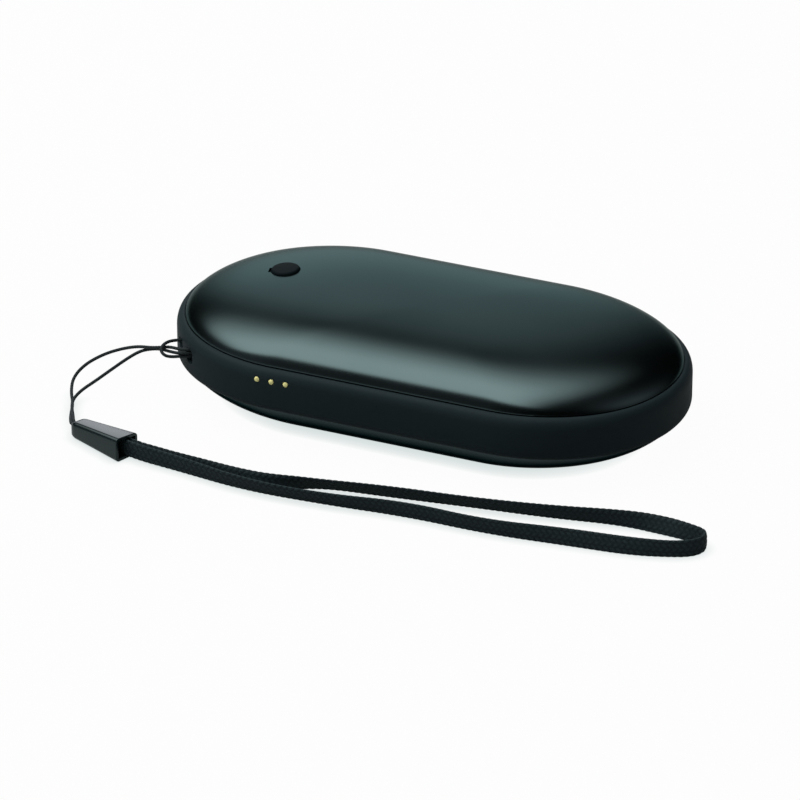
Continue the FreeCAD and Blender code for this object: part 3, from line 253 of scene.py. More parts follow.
def grained(name, tones, rough, grain, depth, metallic=0.0):
    """A finish between two tones and two roughnesses; grain is per metre and depth in metres."""
    material = bpy.data.materials.new(name)
    material.use_nodes = True
    tree = material.node_tree
    shader = tree.nodes["Principled BSDF"]
    shader.inputs["Metallic"].default_value = metallic
    surface = tree.nodes.new("ShaderNodeGroup")
    surface.node_tree = surface_grain
    surface.inputs["Grain"].default_value = grain
    colour = tree.nodes.new("ShaderNodeValToRGB")
    colour.color_ramp.elements[0].color = (*tones[0], 1.0)
    colour.color_ramp.elements[1].color = (*tones[1], 1.0)
    gloss = tree.nodes.new("ShaderNodeMapRange")
    gloss.inputs["To Min"].default_value = rough[0]
    gloss.inputs["To Max"].default_value = rough[1]
    bump = tree.nodes.new("ShaderNodeBump")
    bump.inputs["Distance"].default_value = depth
    tree.links.new(surface.outputs["Tone"], colour.inputs["Fac"])
    tree.links.new(colour.outputs["Color"], shader.inputs["Base Color"])
    tree.links.new(surface.outputs["Tone"], gloss.inputs["Value"])
    tree.links.new(gloss.outputs["Result"], shader.inputs["Roughness"])
    tree.links.new(surface.outputs["Height"], bump.inputs["Height"])
    tree.links.new(bump.outputs["Normal"], shader.inputs["Normal"])
    return material


band_plastic = grained("band_plastic", ((0.0132, 0.0226, 0.0256), (0.0152, 0.0253, 0.0287)), (0.52, 0.58),
                       grain=5200.0, depth=4e-6)
band_plastic.node_tree.nodes["Principled BSDF"].inputs["Specular IOR Level"].default_value = 0.06
side_band.data.materials.clear()
side_band.data.materials.append(band_plastic)
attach(side_band, "housing")
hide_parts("side_band")

# Sealing tapes: thin rings of dark closed-cell tape, die-cut to the pebble's outline. One glues each cover's
# skirt to the band's ledge.


def paint(material, *names):
    """Gives CAD pieces that are right as they are their finish."""
    for name in names:
        node = nodes[name]
        if not node.material_slots:
            node.data.materials.append(material)
        for slot in node.material_slots:
            slot.material = material


paint(grained("seal_tape", ((0.012, 0.013, 0.014), (0.022, 0.023, 0.024)), (0.7, 0.85), 2600.0, 2e-5),
      "top_seal", "bottom_seal")

# Bottom cover: a shell drawn from aluminium sheet, blasted fine and anodised black. Its metal reflects less
# than the top cover's at grazing angles, a painted shade for the shadowed floor that its lower flank mirrors.
# Its flank leaves the seam upright and runs out into the flat that the warmer rests on. Its skirt stands in
# the band's lower rebate.
COVER_INSET = 1.65
COVER_WALL = 1.0
SKIRT_FOOT = 7.2
RIM_ROLL = ((0.18, 0.02), (0.10, 0.05), (0.04, 0.10), (0.0, 0.18))
FLANK_POWER = 5.2
FLANK_ROOT = 1.56
BOTTOM_RISE = 6.6
FLAT_SHARE = 0.52
POLE_SHARES = (0.05, 0.11, 0.17, 0.23, 0.29)
FLANK_FIRST = 0.35
FLANK_STEPS = 54
INNER_SHARES = (0.975, 0.95, 0.92, 0.88, 0.82, 0.74, 0.66, 0.56, 0.3)


def flank(share, power, root):
    return max(0.0, 1 - share ** power) ** (1 / root)


def bottom_height(share):
    level = flank(share, FLANK_POWER, FLANK_ROOT) / flank(FLAT_SHARE, FLANK_POWER, FLANK_ROOT)
    return BOTTOM_RISE * min(1.0, level)


def cover_shares():
    """Shares from the middle to the rim, closer together where the flank turns down."""
    shares = list(POLE_SHARES)
    first = math.asin(FLANK_FIRST ** (FLANK_POWER / 2))
    for step in range(FLANK_STEPS):
        turn = first + (math.pi / 2 - first) * step / FLANK_STEPS
        shares.append(math.sin(turn) ** (2 / FLANK_POWER))
    return shares + [1.0]


def cover_rings(seam, side, height, foot):
    """Rings of a cover's shell, from its outside's middle over the rim and skirt to its inside's middle."""
    rings = [[(0, 0, seam + side * height(0))]]
    for share in cover_shares():
        if height(share) > RIM_ROLL[0][0]:
            level = seam + side * height(share)
            rings.append([(x, y, level) for x, y in pebble_ring(COVER_INSET, share)])
    for rise, tuck in RIM_ROLL:
        rings.append([(x, y, seam + side * rise) for x, y in pebble_ring(COVER_INSET + tuck)])
    rings.append([(x, y, foot) for x, y in pebble_ring(COVER_INSET + RIM_ROLL[-1][1])])
    rings.append([(x, y, foot) for x, y in pebble_ring(COVER_INSET + COVER_WALL)])
    for share in INNER_SHARES:
        level = seam + side * (height(share) - COVER_WALL)
        rings.append([(x, y, level) for x, y in pebble_ring(COVER_INSET + COVER_WALL, share)])
    rings.append([(0, 0, seam + side * (height(0) - COVER_WALL))])
    return rings


bottom_metal_painted_shade = grained("bottom_metal_painted_shade", ((0.058, 0.080, 0.083), (0.062, 0.084, 0.087)), (0.22, 0.26),
                       grain=9000.0, depth=4e-7, metallic=1.0)
bottom_shader = bottom_metal_painted_shade.node_tree.nodes["Principled BSDF"]
# Weaker grazing reflection than the top cover's metal: painted shade for the floor that the flank mirrors.
bottom_shader.inputs["Specular Tint"].default_value = (0.22, 0.25, 0.25, 1.0)
bottom_cover = new_piece("bottom_cover_shell", *skin(cover_rings(BAND_LOW, -1, bottom_height, SKIRT_FOOT)))
bottom_cover.data.materials.append(bottom_metal_painted_shade)
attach(bottom_cover, "housing")
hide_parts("bottom_cover")

# Heater films and their foams: etched foil between amber films, pressed to each cover by a block of soft
# foam, with white leads to the board and a chip thermistor on each film.
paint(grained("heater_film", ((0.30, 0.12, 0.02), (0.42, 0.19, 0.04)), (0.28, 0.4), 700.0, 8e-6),
      "top_heater", "bottom_heater")
paint(grained("pad_foam", ((0.05, 0.052, 0.055), (0.09, 0.092, 0.095)), (0.85, 0.95), 1500.0, 6e-5),
      "top_foam", "bottom_foam")
paint(grained("lead_white", ((0.62, 0.62, 0.60), (0.74, 0.74, 0.72)), (0.4, 0.5), 2200.0, 4e-6),
      "top_heater_leads", "bottom_heater_leads")

# Inner tray: a moulding of grey plastic that sits on the band's lip, with a well for the cell, a slot for the
# leads and three posts that the board is screwed to.
paint(grained("tray_plastic", ((0.16, 0.165, 0.17), (0.21, 0.215, 0.22)), (0.45, 0.55), 4200.0, 6e-6),
      "inner_tray")

# Cell: a lithium pouch sealed in aluminium laminate, with a protection strip folded over its tabs. A red
# and a black wire, soldered to the strip, lead to the board.
paint(grained("cell_foil", ((0.52, 0.53, 0.54), (0.68, 0.69, 0.70)), (0.3, 0.45), 380.0, 4e-5, metallic=1.0),
      "battery_cell")
paint(grained("lead_red", ((0.36, 0.02, 0.015), (0.46, 0.03, 0.02)), (0.38, 0.48), 2200.0, 4e-6),
      "battery_lead_positive")
paint(grained("lead_black", ((0.010, 0.010, 0.011), (0.018, 0.018, 0.019)), (0.38, 0.48), 2200.0, 4e-6),
      "battery_lead_negative")

# Board: glass-fibre laminate under green solder mask, held to the tray by three steel screws, with its chips,
# coil, ceramic capacitors, the push switch under the button and the block that carries the contacts.
paint(grained("board_laminate", ((0.008, 0.07, 0.03), (0.014, 0.10, 0.045)), (0.3, 0.42), 1800.0, 1e-5),
      "main_board", "protection_board")
paint(grained("screw_steel", ((0.42, 0.42, 0.43), (0.56, 0.56, 0.57)), (0.25, 0.4), 5200.0, 3e-6,
              metallic=1.0), "board_screws")
paint(grained("chip_black", ((0.012, 0.012, 0.013), (0.022, 0.022, 0.023)), (0.5, 0.65), 6000.0, 5e-6),
      "controller_chip", "charger_chip", "thermistors", "switch_body", "contact_block")
paint(grained("coil_ferrite", ((0.035, 0.036, 0.04), (0.06, 0.061, 0.065)), (0.55, 0.7), 3000.0, 1e-5),
      "power_inductor")
paint(grained("capacitor_ceramic", ((0.28, 0.19, 0.11), (0.36, 0.26, 0.16)), (0.4, 0.5), 3000.0, 5e-6),
      "board_capacitors")

# Top cover: a shell drawn from aluminium sheet like the bottom one, but with a slight crown and a slightly
# smoother anodised finish; its metal has none of the bottom one's painted shade. The round hole with its
# small keyway is punched for the button.
TOP_RISE = 5.5
TOP_CROWN = 1.0
TOP_POWER = 5.9
TOP_ROOT = 1.6
TOP_SKIRT_FOOT = 14.5
BUTTON_X = -32.84
BUTTON_Y = 3.36
BUTTON_HOLE = 2.97
KEYWAY_REACH = 0.34
KEYWAY_HALF = 1.05
KEYWAY_TURN = 15.0
HOLE_STEPS = 120
HOLE_CUT = (1.5, 9.0)


def top_height(share):
    return TOP_RISE * flank(share, TOP_POWER, TOP_ROOT) + TOP_CROWN * (1 - share * share)


top_cover = new_piece("top_cover_shell", *skin(cover_rings(BAND_TOP, 1, top_height, TOP_SKIRT_FOOT)))


def keyed_circle(radius, key_x, key_half, steps, height, slope=0.0):
    """A circle round the button's axis whose left side carries a key, both as one outline."""
    key_turn = math.asin(key_half / radius)
    ring = [Vector((-key_x, key_half, 0)), Vector((-key_x, -key_half, 0))]
    for step in range(steps + 1):
        turn = math.pi + key_turn + (2 * math.pi - 2 * key_turn) * step / steps
        ring.append(Vector((radius * math.cos(turn), radius * math.sin(turn), 0)))
    for point in ring:
        point.rotate(Euler((0, 0, math.radians(KEYWAY_TURN))))
    return [(BUTTON_X + point.x, BUTTON_Y + point.y, height + slope * point.x) for point in ring]


hole_rings = []
for rise in HOLE_CUT:
    key_x = BUTTON_HOLE + KEYWAY_REACH
    hole_rings.append(keyed_circle(BUTTON_HOLE, key_x, KEYWAY_HALF, HOLE_STEPS, BAND_TOP + rise))
cut_away(top_cover, new_piece("button_hole", *capped(hole_rings)))
cover_metal = grained("cover_metal", ((0.049, 0.071, 0.072), (0.053, 0.075, 0.076)), (0.20, 0.23),
                      grain=9000.0, depth=4e-7, metallic=1.0)
cover_shader = cover_metal.node_tree.nodes["Principled BSDF"]
cover_shader.inputs["Specular Tint"].default_value = (0.50, 0.56, 0.55, 1.0)
top_cover.data.materials.clear()
top_cover.data.materials.append(cover_metal)
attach(top_cover, "housing")
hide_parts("top_cover")

# Button: a small moulded cap in matt black, with a softly domed head that follows the cover's slope, a collar
# under the cover, a stem on the switch's plunger and a key on its left that runs in the cover's keyway. It
# slides down as one with the plunger.
BUTTON_RADIUS = 2.85
BUTTON_TOP = 21.72
BUTTON_SLOPE = 0.07
BUTTON_CROWN = 0.1
BUTTON_ROUND = 0.5
HEAD_SHARES = (0.2, 0.4, 0.6, 0.75)
COLLAR_RADIUS = 3.4
COLLAR_LOW = 18.726
COLLAR_TOP = 19.526
STEM_RADIUS = 1.5
STEM_LOW = 17.2
KEY_REACH = 0.2
KEY_HALF = 0.65
KEY_TOP = 20.576
KEY_EDGE = 0.06
KEY_LEDGE = 0.01
BUTTON_STEPS = 96


def button_ring(radius, height, key=0.0, slope=0.0):
    if radius == 0:
        return [(BUTTON_X, BUTTON_Y, height)]
    half = KEY_HALF * radius / BUTTON_RADIUS
    reach = radius + key if key else radius * math.cos(math.asin(half / radius))
    return keyed_circle(radius, reach, half, BUTTON_STEPS, height, slope)


button_rings = [button_ring(0, BUTTON_TOP)]
for share in HEAD_SHARES:
    level = BUTTON_TOP - BUTTON_CROWN * share * share
    button_rings.append(button_ring(share * BUTTON_RADIUS, level, slope=BUTTON_SLOPE))
shoulder_height = BUTTON_TOP - BUTTON_CROWN * (1 - BUTTON_ROUND / BUTTON_RADIUS) ** 2 - BUTTON_ROUND
for step in range(EDGE_STEPS + 1):
    turn = math.pi / 2 * (1 - step / EDGE_STEPS)
    radius = BUTTON_RADIUS - BUTTON_ROUND + BUTTON_ROUND * math.cos(turn)
    level = shoulder_height + BUTTON_ROUND * math.sin(turn)
    button_rings.append(button_ring(radius, level, slope=BUTTON_SLOPE))
button_rings.append(button_ring(BUTTON_RADIUS, KEY_TOP + KEY_LEDGE))
button_rings.append(button_ring(BUTTON_RADIUS, KEY_TOP, KEY_REACH - KEY_EDGE))
button_rings.append(button_ring(BUTTON_RADIUS, KEY_TOP - KEY_EDGE, KEY_REACH))
button_rings.append(button_ring(BUTTON_RADIUS, COLLAR_TOP, KEY_REACH))
button_rings.append(button_ring(COLLAR_RADIUS - KEY_EDGE, COLLAR_TOP))
button_rings.append(button_ring(COLLAR_RADIUS, COLLAR_TOP - KEY_EDGE))
button_rings.append(button_ring(COLLAR_RADIUS, COLLAR_LOW))
button_rings.append(button_ring(STEM_RADIUS, COLLAR_LOW))
button_rings.append(button_ring(STEM_RADIUS, STEM_LOW))
button_rings.append(button_ring(0, STEM_LOW))
button = new_piece("button_cap_moulding", *skin(button_rings))
button_plastic = grained("button_plastic", ((0.0034, 0.0070, 0.0078), (0.0046, 0.0088, 0.0098)), (0.52, 0.60),
                         grain=6400.0, depth=5e-6)
button_plastic.node_tree.nodes["Principled BSDF"].inputs["Specular IOR Level"].default_value = 0.03
button.data.materials.append(button_plastic)
paint(button_plastic, "switch_plunger")
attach(button, "button")
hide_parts("button_cap")

# Charging contacts: three turned brass pins with gold plate, carried by the board's block and let through the
# band's front wall. Each has a slightly domed end that the charger's sprung pin meets. Their gold is pale and
# mostly matt, a painted reflection that stands in for the shine of polished plate.
PIN_RADIUS = 0.51
PIN_LENGTH = 7.0
PIN_DOME = 0.2
DOME_SHARES = (0, 0.25, 0.45, 0.6, 0.75, 0.88, 0.96, 1)
pin_profile = [(PIN_RADIUS * share, PIN_DOME * (share * share - 1)) for share in DOME_SHARES]
pin_profile += [(PIN_RADIUS, PIN_LENGTH), (0, PIN_LENGTH)]
pin_points = []
pin_faces = []
for number in (-1, 0, 1):
    points, faces = skin(turned(pin_profile, number))
    pin_faces += [[corner + len(pin_points) for corner in face] for face in faces]
    pin_points += points
contacts = new_piece("charge_contact_pins", pin_points, pin_faces, crease=50.0)
# Pale, mostly matt gold: painted reflection in place of the shine of polished plate.
contact_gold = grained("contact_gold", ((0.93, 0.86, 0.30), (0.98, 0.92, 0.38)), (0.36, 0.44),
                       grain=9000.0, depth=1e-6, metallic=0.1)
contacts.data.materials.append(contact_gold)
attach(contacts, "housing")
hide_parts("charge_contacts")

# Lanyard: a thin round cord, braided from black polyester, in two strands that come out of the lower slot,
# and the hitch that loops round them into the upper slot. The strands end in the strap's connector.
CORD_RADIUS = 0.32
CORD_PITCH = 1.3
CORD_RELIEF = 0.09
CORD_STEP = 0.1
CORD_SIDES = 16
SPLINE_STEPS = 40
UPPER_STRAND = (
    (-40.804, -18.419, 12.42), (-41.947, -19.539, 12.42), (-44.15, -20.58, 12.45), (-46.85, -19.90, 12.20),
    (-48.61, -20.26, 11.90), (-50.87, -20.09, 11.30), (-54.45, -18.55, 10.15), (-58.12, -18.19, 8.75),
    (-61.87, -18.62, 7.00), (-65.45, -19.75, 4.60), (-66.90, -22.20, 2.60), (-65.80, -25.50, 1.30),
    (-63.70, -28.85, 0.65), (-62.05, -32.95, 0.75), (-60.05, -37.20, 1.70), (-58.734, -39.243, 1.90),
    (-55.737, -40.363, 1.90),
)
LOWER_STRAND = (
    (-40.804, -18.419, 11.72), (-41.947, -19.539, 11.72), (-44.15, -20.83, 11.70), (-46.61, -20.43, 11.45),
    (-48.93, -19.64, 11.20), (-51.33, -19.17, 10.50), (-53.91, -18.80, 9.35), (-55.99, -20.37, 8.00),
    (-58.85, -21.73, 5.60), (-61.50, -23.51, 3.40), (-63.58, -25.52, 1.90), (-63.86, -28.65, 1.30),
    (-62.36, -31.98, 1.35), (-60.60, -34.96, 1.60), (-59.33, -37.32, 1.90), (-58.440, -38.456, 1.90),
    (-55.442, -39.577, 1.90),
)
HITCH = (
    (-44.162, -14.990, 12.35), (-45.305, -16.109, 12.35), (-46.44, -17.17, 12.50), (-47.54, -18.67, 12.75),
    (-47.97, -20.66, 12.80), (-47.77, -22.26, 12.30), (-46.70, -22.67, 11.60), (-45.62, -21.83, 11.15),
    (-44.18, -20.59, 11.02), (-41.947, -19.539, 11.02), (-40.804, -18.419, 11.02),
)


def spline_points(route):
    """Points of the smooth NURBS line that has the route's points as its control points."""
    curve = bpy.data.curves.new("route", "CURVE")
    curve.dimensions = "3D"
    curve.resolution_u = SPLINE_STEPS
    spline = curve.splines.new("NURBS")
    spline.points.add(len(route) - 1)
    for point, place in zip(spline.points, route):
        point.co = (*(Vector(place) * MM), 1.0)
    spline.order_u = 3
    spline.use_endpoint_u = True
    line = bpy.data.objects.new("route", curve)
    bpy.context.scene.collection.objects.link(line)
    bpy.context.view_layer.update()
    mesh = bpy.data.meshes.new_from_object(line)
    points = [vertex.co / MM for vertex in mesh.vertices]
    bpy.data.objects.remove(line)
    return points


def even(points, step, extra=None):
    """Points a step apart along a line, with the extra value of each where one is given."""
    places = [0.0]
    for before, after in zip(points, points[1:]):
        places.append(places[-1] + (after - before).length)
    count = max(2, round(places[-1] / step))
    line = []
    values = []
    index = 0
    for number in range(count + 1):
        target = places[-1] * number / count
        while index < len(points) - 2 and places[index + 1] < target:
            index += 1
        share = (target - places[index]) / max(1e-9, places[index + 1] - places[index])
        line.append(points[index].lerp(points[index + 1], share))
        if extra:
            values.append(extra[index] + (extra[index + 1] - extra[index]) * share)
    return line, values


def headings(line):
    """Unit direction of a line at each of its points."""
    ahead = line[1:] + [line[-1]]
    behind = [line[0]] + line[:-1]
    return [(after - before).normalized() for before, after in zip(behind, ahead)]


def store_relief(piece, relief):
    """Keeps how far each point stands out, for the yarn's tone and its painted shade between the yarns."""
    layer = piece.data.attributes.new("relief", "FLOAT", "POINT")
    layer.data.foreach_set("value", relief)


def braided_cord(name, route):
    """A round cord whose braided yarns stand out as relief; also the line that it follows."""
    line, _ = even(spline_points(route), CORD_STEP)
    rings = [[line[0]]]
    relief = [0.0]
    across = Vector((0, 0, 1))
    run = 0.0
    for index, (point, heading) in enumerate(zip(line, headings(line))):
        across = (across - heading * across.dot(heading)).normalized()
        beside = heading.cross(across)
        run += (point - line[index - 1]).length if index else 0.0
        ring = []
        for side in range(CORD_SIDES):
            turn = 2 * math.pi * side / CORD_SIDES
            lay = 2 * math.pi * run / CORD_PITCH
            yarn = max(abs(math.cos(2 * turn + lay)), abs(math.sin(2 * turn - lay)))
            radius = CORD_RADIUS * (1 - CORD_RELIEF + CORD_RELIEF * yarn)
            ring.append(point + (across * math.cos(turn) + beside * math.sin(turn)) * radius)
            relief.append(yarn)
        rings.append(ring)
    rings.append([line[-1]])
    relief.append(0.0)
    piece = new_piece(name, *skin(rings), crease=180.0)
    store_relief(piece, relief)
    return piece, [point * MM for point in line]


# Yarn: the tone of polyester thread, with painted shade that darkens it between the yarns, and its loose
# fibres.
yarn_fibre = bpy.data.node_groups.new("yarn_fibre", "ShaderNodeTree")
yarn_fibre.interface.new_socket("Fibre", in_out="INPUT", socket_type="NodeSocketFloat")
yarn_fibre.interface.new_socket("Tone", in_out="OUTPUT", socket_type="NodeSocketFloat")
yarn_fibre.interface.new_socket("Height", in_out="OUTPUT", socket_type="NodeSocketFloat")
fibre_in = yarn_fibre.nodes.new("NodeGroupInput")
fibre_out = yarn_fibre.nodes.new("NodeGroupOutput")
fibre_place = yarn_fibre.nodes.new("ShaderNodeTexCoord")
fibre_relief = yarn_fibre.nodes.new("ShaderNodeAttribute")
fibre_relief.attribute_name = "relief"
fibre_noise = yarn_fibre.nodes.new("ShaderNodeTexNoise")
fibre_noise.inputs["Detail"].default_value = 3.0
# Fibre tone that varies at random, times the relief: painted shade between the yarns.
fibre_tone_and_groove_shade = yarn_fibre.nodes.new("ShaderNodeMath")
fibre_tone_and_groove_shade.operation = "MULTIPLY"
yarn_fibre.links.new(fibre_place.outputs["Object"], fibre_noise.inputs["Vector"])
yarn_fibre.links.new(fibre_in.outputs["Fibre"], fibre_noise.inputs["Scale"])
yarn_fibre.links.new(fibre_noise.outputs["Fac"], fibre_tone_and_groove_shade.inputs[0])
yarn_fibre.links.new(fibre_relief.outputs["Fac"], fibre_tone_and_groove_shade.inputs[1])
yarn_fibre.links.new(fibre_tone_and_groove_shade.outputs["Value"], fibre_out.inputs["Tone"])
yarn_fibre.links.new(fibre_noise.outputs["Fac"], fibre_out.inputs["Height"])


def yarned(name, tones, rough, fibre, depth, sheen):
    """A finish of spun yarn between two tones, the darker one painted as shade between the yarns."""
    material = bpy.data.materials.new(name)
    material.use_nodes = True
    tree = material.node_tree
    shader = tree.nodes["Principled BSDF"]
    shader.inputs["Specular IOR Level"].default_value = 0.12
    shader.inputs["Sheen Weight"].default_value = sheen
    shader.inputs["Sheen Roughness"].default_value = 0.4
    surface = tree.nodes.new("ShaderNodeGroup")
    surface.node_tree = yarn_fibre
    surface.inputs["Fibre"].default_value = fibre
    colour = tree.nodes.new("ShaderNodeValToRGB")
    colour.color_ramp.elements[0].position = 0.15
    colour.color_ramp.elements[0].color = (*tones[0], 1.0)
    colour.color_ramp.elements[1].position = 0.65
    colour.color_ramp.elements[1].color = (*tones[1], 1.0)
    gloss = tree.nodes.new("ShaderNodeMapRange")
    gloss.inputs["To Min"].default_value = rough[1]
    gloss.inputs["To Max"].default_value = rough[0]
    bump = tree.nodes.new("ShaderNodeBump")
    bump.inputs["Distance"].default_value = depth
    tree.links.new(surface.outputs["Tone"], colour.inputs["Fac"])
    tree.links.new(colour.outputs["Color"], shader.inputs["Base Color"])
    tree.links.new(surface.outputs["Tone"], gloss.inputs["Value"])
    tree.links.new(gloss.outputs["Result"], shader.inputs["Roughness"])
    tree.links.new(surface.outputs["Height"], bump.inputs["Height"])
    tree.links.new(bump.outputs["Normal"], shader.inputs["Normal"])
    return material


cord_braid = yarned("cord_braid", ((0.0100, 0.0150, 0.0165), (0.0260, 0.0345, 0.0370)), (0.5, 0.7),
                    fibre=9000.0, depth=1e-5, sheen=0.05)
strand_upper, upper_line = braided_cord("lanyard_cord_upper", UPPER_STRAND)
strand_lower, lower_line = braided_cord("lanyard_cord_lower", LOWER_STRAND)
hitch, _ = braided_cord("lanyard_cord_hitch", HITCH)
for strand, node in ((strand_upper, "lanyard_strand_upper"), (strand_lower, "lanyard_strand_lower"),
                     (hitch, "lanyard_hitch")):
    strand.data.materials.append(cord_braid)
    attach(strand, "housing")
    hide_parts(node)

# Strap connector: a small wedge moulded in black plastic over the ends of the strap. The lanyard's strands go
# into its narrow nose, and the strap comes out of its open mouth.
CONNECTOR_MOUTH = Vector((-44.49, -44.12, 0))
CONNECTOR_HEADING = -20.5
CONNECTOR_LENGTH = 14.3
NOSE_HALF = 1.85
NOSE_HEIGHT = 3.3
NOSE_ROUND = 0.9
NOSE_REACH = 1.7
MOUTH_HALF = 2.85
MOUTH_HEIGHT = 4.85
CONNECTOR_TILT = 0.017
CONNECTOR_ROUND = 0.9
RIM_ROUND = 0.16
RIM_WALL = 0.6
ROOM_DEPTH = 2.6
RECESS_HALF = 0.85
RECESS_LOW = 1.5
RECESS_HIGH = 2.3
RECESS_ROUND = 0.3
RECESS_DEPTH = 2.6
CORNER_STEPS = 8
LEAST_ROUND = 0.2
connector_turn = math.radians(CONNECTOR_HEADING)
ahead = Vector((math.cos(connector_turn), math.sin(connector_turn), 0))
beside = Vector((-math.sin(connector_turn), math.cos(connector_turn), 0))


def in_connector(along, side, height):
    level = Vector((0, 0, height * (1 - CONNECTOR_TILT * side)))
    return CONNECTOR_MOUTH + ahead * along + beside * side + level


def oblong(along, half, low, high, corner):
    """An upright oblong with round corners across the connector."""
    ring = []
    for quarter, side, height in ((0, half, high), (1, -half, high), (2, -half, low), (3, half, low)):
        side -= math.copysign(corner, side)
        height += corner if quarter > 1 else -corner
        for step in range(CORNER_STEPS + 1):
            turn = math.pi / 2 * (quarter + step / CORNER_STEPS)
            ring.append(in_connector(along, side + corner * math.cos(turn), height + corner * math.sin(turn)))
    return ring


def section_ring(along, inset, corner):
    """The connector's round-cornered section at a place along it, taken in all round by inset."""
    share = -along / CONNECTOR_LENGTH
    half = MOUTH_HALF + (NOSE_HALF - MOUTH_HALF) * share - inset
    top = MOUTH_HEIGHT + (NOSE_HEIGHT - MOUTH_HEIGHT) * share - inset
    return oblong(along, half, inset, top, max(corner - inset, LEAST_ROUND))


recess_end = RECESS_DEPTH - CONNECTOR_LENGTH
connector_rings = [[in_connector(recess_end, 0, (RECESS_LOW + RECESS_HIGH) / 2)]]
connector_rings.append(oblong(recess_end, RECESS_HALF, RECESS_LOW, RECESS_HIGH, RECESS_ROUND))
connector_rings.append(oblong(-CONNECTOR_LENGTH, RECESS_HALF, RECESS_LOW, RECESS_HIGH, RECESS_ROUND))
for inset, height in rounded(0, NOSE_ROUND, NOSE_REACH)[::-1]:
    connector_rings.append(section_ring(NOSE_REACH - height - CONNECTOR_LENGTH, inset, CONNECTOR_ROUND))
for inset, height in rounded(-RIM_ROUND, RIM_ROUND, RIM_ROUND):
    connector_rings.append(section_ring(height, inset, CONNECTOR_ROUND))
connector_rings.append(section_ring(0, RIM_WALL, CONNECTOR_ROUND))
connector_rings.append(section_ring(-ROOM_DEPTH, RIM_WALL, CONNECTOR_ROUND))
connector_rings.append([in_connector(-ROOM_DEPTH, 0, MOUTH_HEIGHT / 2)])
connector = new_piece("strap_connector_moulding", *skin(connector_rings), crease=40.0)
connector_plastic = grained("connector_plastic", ((0.0050, 0.0095, 0.0105), (0.0064, 0.0115, 0.0126)),
                            (0.09, 0.12), grain=6000.0, depth=8e-7)
connector_shader = connector_plastic.node_tree.nodes["Principled BSDF"]
connector_shader.inputs["Specular IOR Level"].default_value = 0.44
connector_shader.inputs["Specular Tint"].default_value = (0.74, 1.0, 0.98, 1.0)
connector.data.materials.append(connector_plastic)
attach(connector, "housing")
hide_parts("strap_connector")

# Wrist strap: a flat tubular braid of black polyester, folded to a long loop. Both ends are held in the
# connector, and the loop lies on its edge on the floor, leaning to one side or the other along its way.
STRAP_HALF_WIDTH = 1.75
STRAP_HALF_THICK = 0.36
STRAP_STEP = 0.14
PLAIT_WIDTH = 0.9
PLAIT_PITCH = 1.2
PLAIT_RELIEF = 0.10
PLAIT_SUNK = 0.6
PLAIT_SLANT = 0.5
PLAIT_SHIFT = 0.25
CROWN_POWER = 0.7
COLUMN_POWER = 0.4
EDGE_POWER = 2.7
STRAP_SIDES = 48
# Each point of the route is its place on the floor, how far the strap leans to the right of its way in
# degrees, and how far its lower edge is off the floor.
STRAP = (
    (-46.926, -43.210, 0, 0.45), (-42.851, -44.733, 0, 0.45), (-33.5, -45.05, 2, 0), (-18.0, -47.8, 22, 0),
    (-2.0, -47.0, 26, 0), (14.0, -44.5, 6, 0), (30.0, -44.9, 12, 0), (45.5, -42.5, -8, 0),
    (57.0, -41.25, -13, 0), (64.4, -39.3, 2, 0), (68.4, -37.3, -3, 0), (69.9, -34.66, 0, 0),
    (69.2, -32.4, 0, 0), (65.8, -31.7, 8, 0), (60.4, -31.0, 28, 0), (52.5, -31.3, -6, 0),
    (39.0, -34.6, -20, 0), (24.0, -37.0, -31, 0), (8.5, -39.3, -26, 0), (-6.5, -41.6, -38, 0),
    (-13.5, -45.3, 10, 0), (-21.0, -45.55, 14, 0), (-28.5, -44.6, 3, 0), (-34.0, -44.1, 0, 0),
    (-38.5, -43.85, 0, 0.2), (-42.500, -43.796, 0, 0.45), (-46.575, -42.273, 0, 0.45),
)


def plait(run, across):
    """How far a flat braid's yarns stand out: crowns in columns, slanted the other way in each next one."""
    column = (across + STRAP_HALF_WIDTH) / PLAIT_WIDTH + 0.5
    number = math.floor(column)
    inside = column - number
    slant = PLAIT_SLANT if number % 2 else -PLAIT_SLANT
    crown = abs(math.sin(math.pi * (run / PLAIT_PITCH + slant * (inside - 0.5) + 0.5 * (number % 2))))
    return crown ** CROWN_POWER * math.sin(math.pi * inside) ** COLUMN_POWER


def strap_section():
    """The strap's section as a place across, a place through it and the way outwards, once round."""
    section = []
    for step in range(STRAP_SIDES):
        turn = 2 * math.pi * step / STRAP_SIDES
        wide = math.copysign(abs(math.sin(turn)) ** (2 / EDGE_POWER), math.sin(turn))
        deep = math.copysign(abs(math.cos(turn)) ** (2 / EDGE_POWER), math.cos(turn))
        out = Vector((math.copysign(abs(wide) ** (EDGE_POWER - 1), wide) / STRAP_HALF_WIDTH,
                      math.copysign(abs(deep) ** (EDGE_POWER - 1), deep) / STRAP_HALF_THICK)).normalized()
        section.append((wide * STRAP_HALF_WIDTH, deep * STRAP_HALF_THICK, out.x, out.y))
    return section


